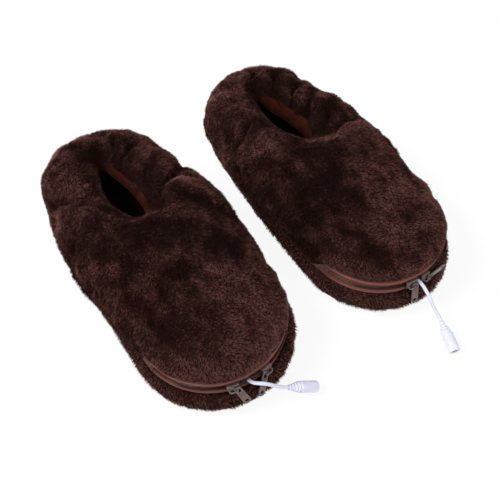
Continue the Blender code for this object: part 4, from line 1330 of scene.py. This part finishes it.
# lining: the solid's skin in quads, drawn in round the opening and gathered in shallow folds
lining = {
    "cut": (0.60, 0.048),
    "area": 0.0262,
    "fold": 0.0007,
    "foldSize": (0.006, 0.006, 0.030),
    "foldFade": (0.7, 0.060, 0.070),
    "topLevels": (0.056, 0.075),
    "tucked": 0.0010,
    "nearDrop": 0.0065,
    "nearAcross": (-0.006, 0.004),
    "nearAhead": (0.6, 0.074, 0.090),
    "rearDrop": {"left": 0.0040, "right": 0.0015},
    "rearAhead": (0.078, 0.094),
    "frontDrop": {"left": 0.0055, "right": 0.0075},
    "frontAhead": (0.016, 0.044),
    "hang": {"left": 0.0010, "right": 0.0045},
    "hangAcross": (0.0, 0.008),
    "hangFromMiddle": (0.028, 0.042),
    "hangLevel": 0.058,
    "hangHeight": 0.008,
    "smooth": 8,
    "seeds": {"left": 2.0, "right": 9.0},
}


def makeLining(side):
    piece = copyNode(side + "_lining", side + "_lining_cloth")
    editAll(bpy.ops.mesh.tris_convert_to_quads)
    addModifier(piece, "SUBSURF", levels=2)
    addModifier(piece, "SMOOTH", factor=0.5, iterations=lining["smooth"])
    applyAll(piece)
    points, normals = skinOf(piece.data)
    ripple = lining["fold"] * noiseAt(points, lining["foldSize"], lining["seeds"][side])
    ripple *= fade(points[:, 2], lining["foldFade"])
    inner = points + normals * np.minimum(ripple, 0)[:, None]
    across, ahead = fromAbove(side, inner).T
    near = (1 - ease(across, *lining["nearAcross"])) * fade(ahead, lining["nearAhead"])
    inner[:, 2] -= lining["nearDrop"] * near * ease(inner[:, 2], *lining["topLevels"])
    lowered = lining["tucked"] + lining["rearDrop"][side] * ease(ahead, *lining["rearAhead"])
    lowered += lining["frontDrop"][side] * (1 - ease(ahead, *lining["frontAhead"]))
    inner[:, 2] -= lowered * ease(inner[:, 2], *lining["topLevels"])
    far = ease(across, *lining["hangAcross"])
    far *= 1 - ease(np.abs(ahead - slit["middle"]), *lining["hangFromMiddle"])
    bulge = bell(inner[:, 2] - lining["hangLevel"], lining["hangHeight"])
    inner[:, 0] -= lining["hang"][side] * far * bulge
    finishSoft(piece, openedOut(side, inner), liningCloth, "lining", side + "_lining")


# insole: a soft pad, rounded at its edge and dented in channels across it
insole = {
    "voxel": 0.0013,
    "smooth": 4,
    "channel": 0.0005,
    "pitch": 0.030,
    "width": 0.0018,
    "facing": (0.5, 0.9),
}


def makeInsole(side):
    piece = roundOff(side + "_insole", side + "_footbed", insole["voxel"], insole["smooth"])
    points, normals = skinOf(piece.data)
    seen = fromAbove(side, points)
    for slant in (-1, 1):
        across = (seen[:, 0] + slant * seen[:, 1]) % insole["pitch"] - insole["pitch"] / 2
        dent = insole["channel"] * bell(across, insole["width"])
        points[:, 2] -= dent * ease(normals[:, 2], *insole["facing"])
    finishSoft(piece, points, plain["insoleCloth"], "plush", side + "_footbed")


# outsole: a stout cloth with small grip dots underneath
outsole = {"cut": (0.119, 0.270), "area": 0.0256, "edge": 0.0007, "segments": 3, "degrees": 40}


def makeOutsole(side):
    piece = copyNode(side + "_outsole", side + "_outsole_cloth")
    roundEdges(piece, outsole["edge"], outsole["segments"], outsole["degrees"])
    finish(piece, soleCloth, "slippers", "outsole_cloth", side + "_outsole")


for side in sides:
    makeLining(side)
    makeInsole(side)
    makeOutsole(side)
print("lining, insoles and outsoles made")


# the solids that keep their shape take these finishes
finishes = {
    "zip_stop_left": "stopMetal", "zip_stop_right": "stopMetal",
    "connector_contact": "socketMetal", "connector_pin": "socketMetal",
    "sole_foam": "hiddenFoam", "heating_pad": "hiddenFelt", "heating_wire": "hiddenWire",
    "thermostat": "blackPlastic", "lead_junction": "blackPlastic",
}
for side in sides:
    for node, material in finishes.items():
        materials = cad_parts[side + "_" + node].data.materials
        materials.clear()
        materials.append(plain[material])
print("other solids finished")


# floor, lamps and a white surround
studio = {
    "floorSize": 8.0,
    "floorWhite": 0.9,
    "surround": 0.4,
    "glow": 0.9,
    "lamps": (
        ((-0.78, 0.42, 1.05), 0.5, 19.0),
        ((0.25, -1.3, 0.9), 0.8, 9.0),
        ((0.3, 1.3, 0.8), 0.7, 6.0),
    ),
}


def seenRays(tree):  # 1 for rays that show the surround itself, straight, mirrored or through glass
    path = addNode(tree, "LightPath").outputs
    share = calculate(tree, "MAXIMUM", path["Is Camera Ray"], path["Is Glossy Ray"])
    return calculate(tree, "MAXIMUM", share, path["Is Transmission Ray"])


bpy.ops.mesh.primitive_plane_add(size=studio["floorSize"], location=(0, 0, 0))
floor = bpy.context.object
floor.name = "floor"
floorPaint, tree, shader = newMaterial("floorPaint", roughness=0.9)
fill(tree, shader, {"Base Color": (studio["floorWhite"],) * 3})
glow = outputOf(tree, "Emission", {"Strength": 1.0})
share = calculate(tree, "MULTIPLY", seenRays(tree), studio["glow"])
blend = outputOf(tree, "MixShader", {0: share, 1: shader.outputs[0], 2: glow})
fill(tree, tree.nodes["Material Output"], {"Surface": blend})
floor.data.materials.append(floorPaint)

world = bpy.data.worlds.new("surround")
world.use_nodes = True
bpy.context.scene.world = world
tree = world.node_tree
soft = fill(tree, tree.nodes["Background"], {"Color": (1, 1, 1), "Strength": studio["surround"]})
white = outputOf(tree, "Background", {"Color": (1, 1, 1), "Strength": 1.0})
blend = outputOf(tree, "MixShader", {0: seenRays(tree), 1: soft.outputs[0], 2: white})
fill(tree, tree.nodes["World Output"], {"Surface": blend})
for place, size, power in studio["lamps"]:
    turn = Vector(place).to_track_quat("Z", "Y").to_euler()
    bpy.ops.object.light_add(type="AREA", location=place, rotation=turn)
    lamp = bpy.context.object.data
    lamp.size = size
    lamp.energy = power
print("studio lit")
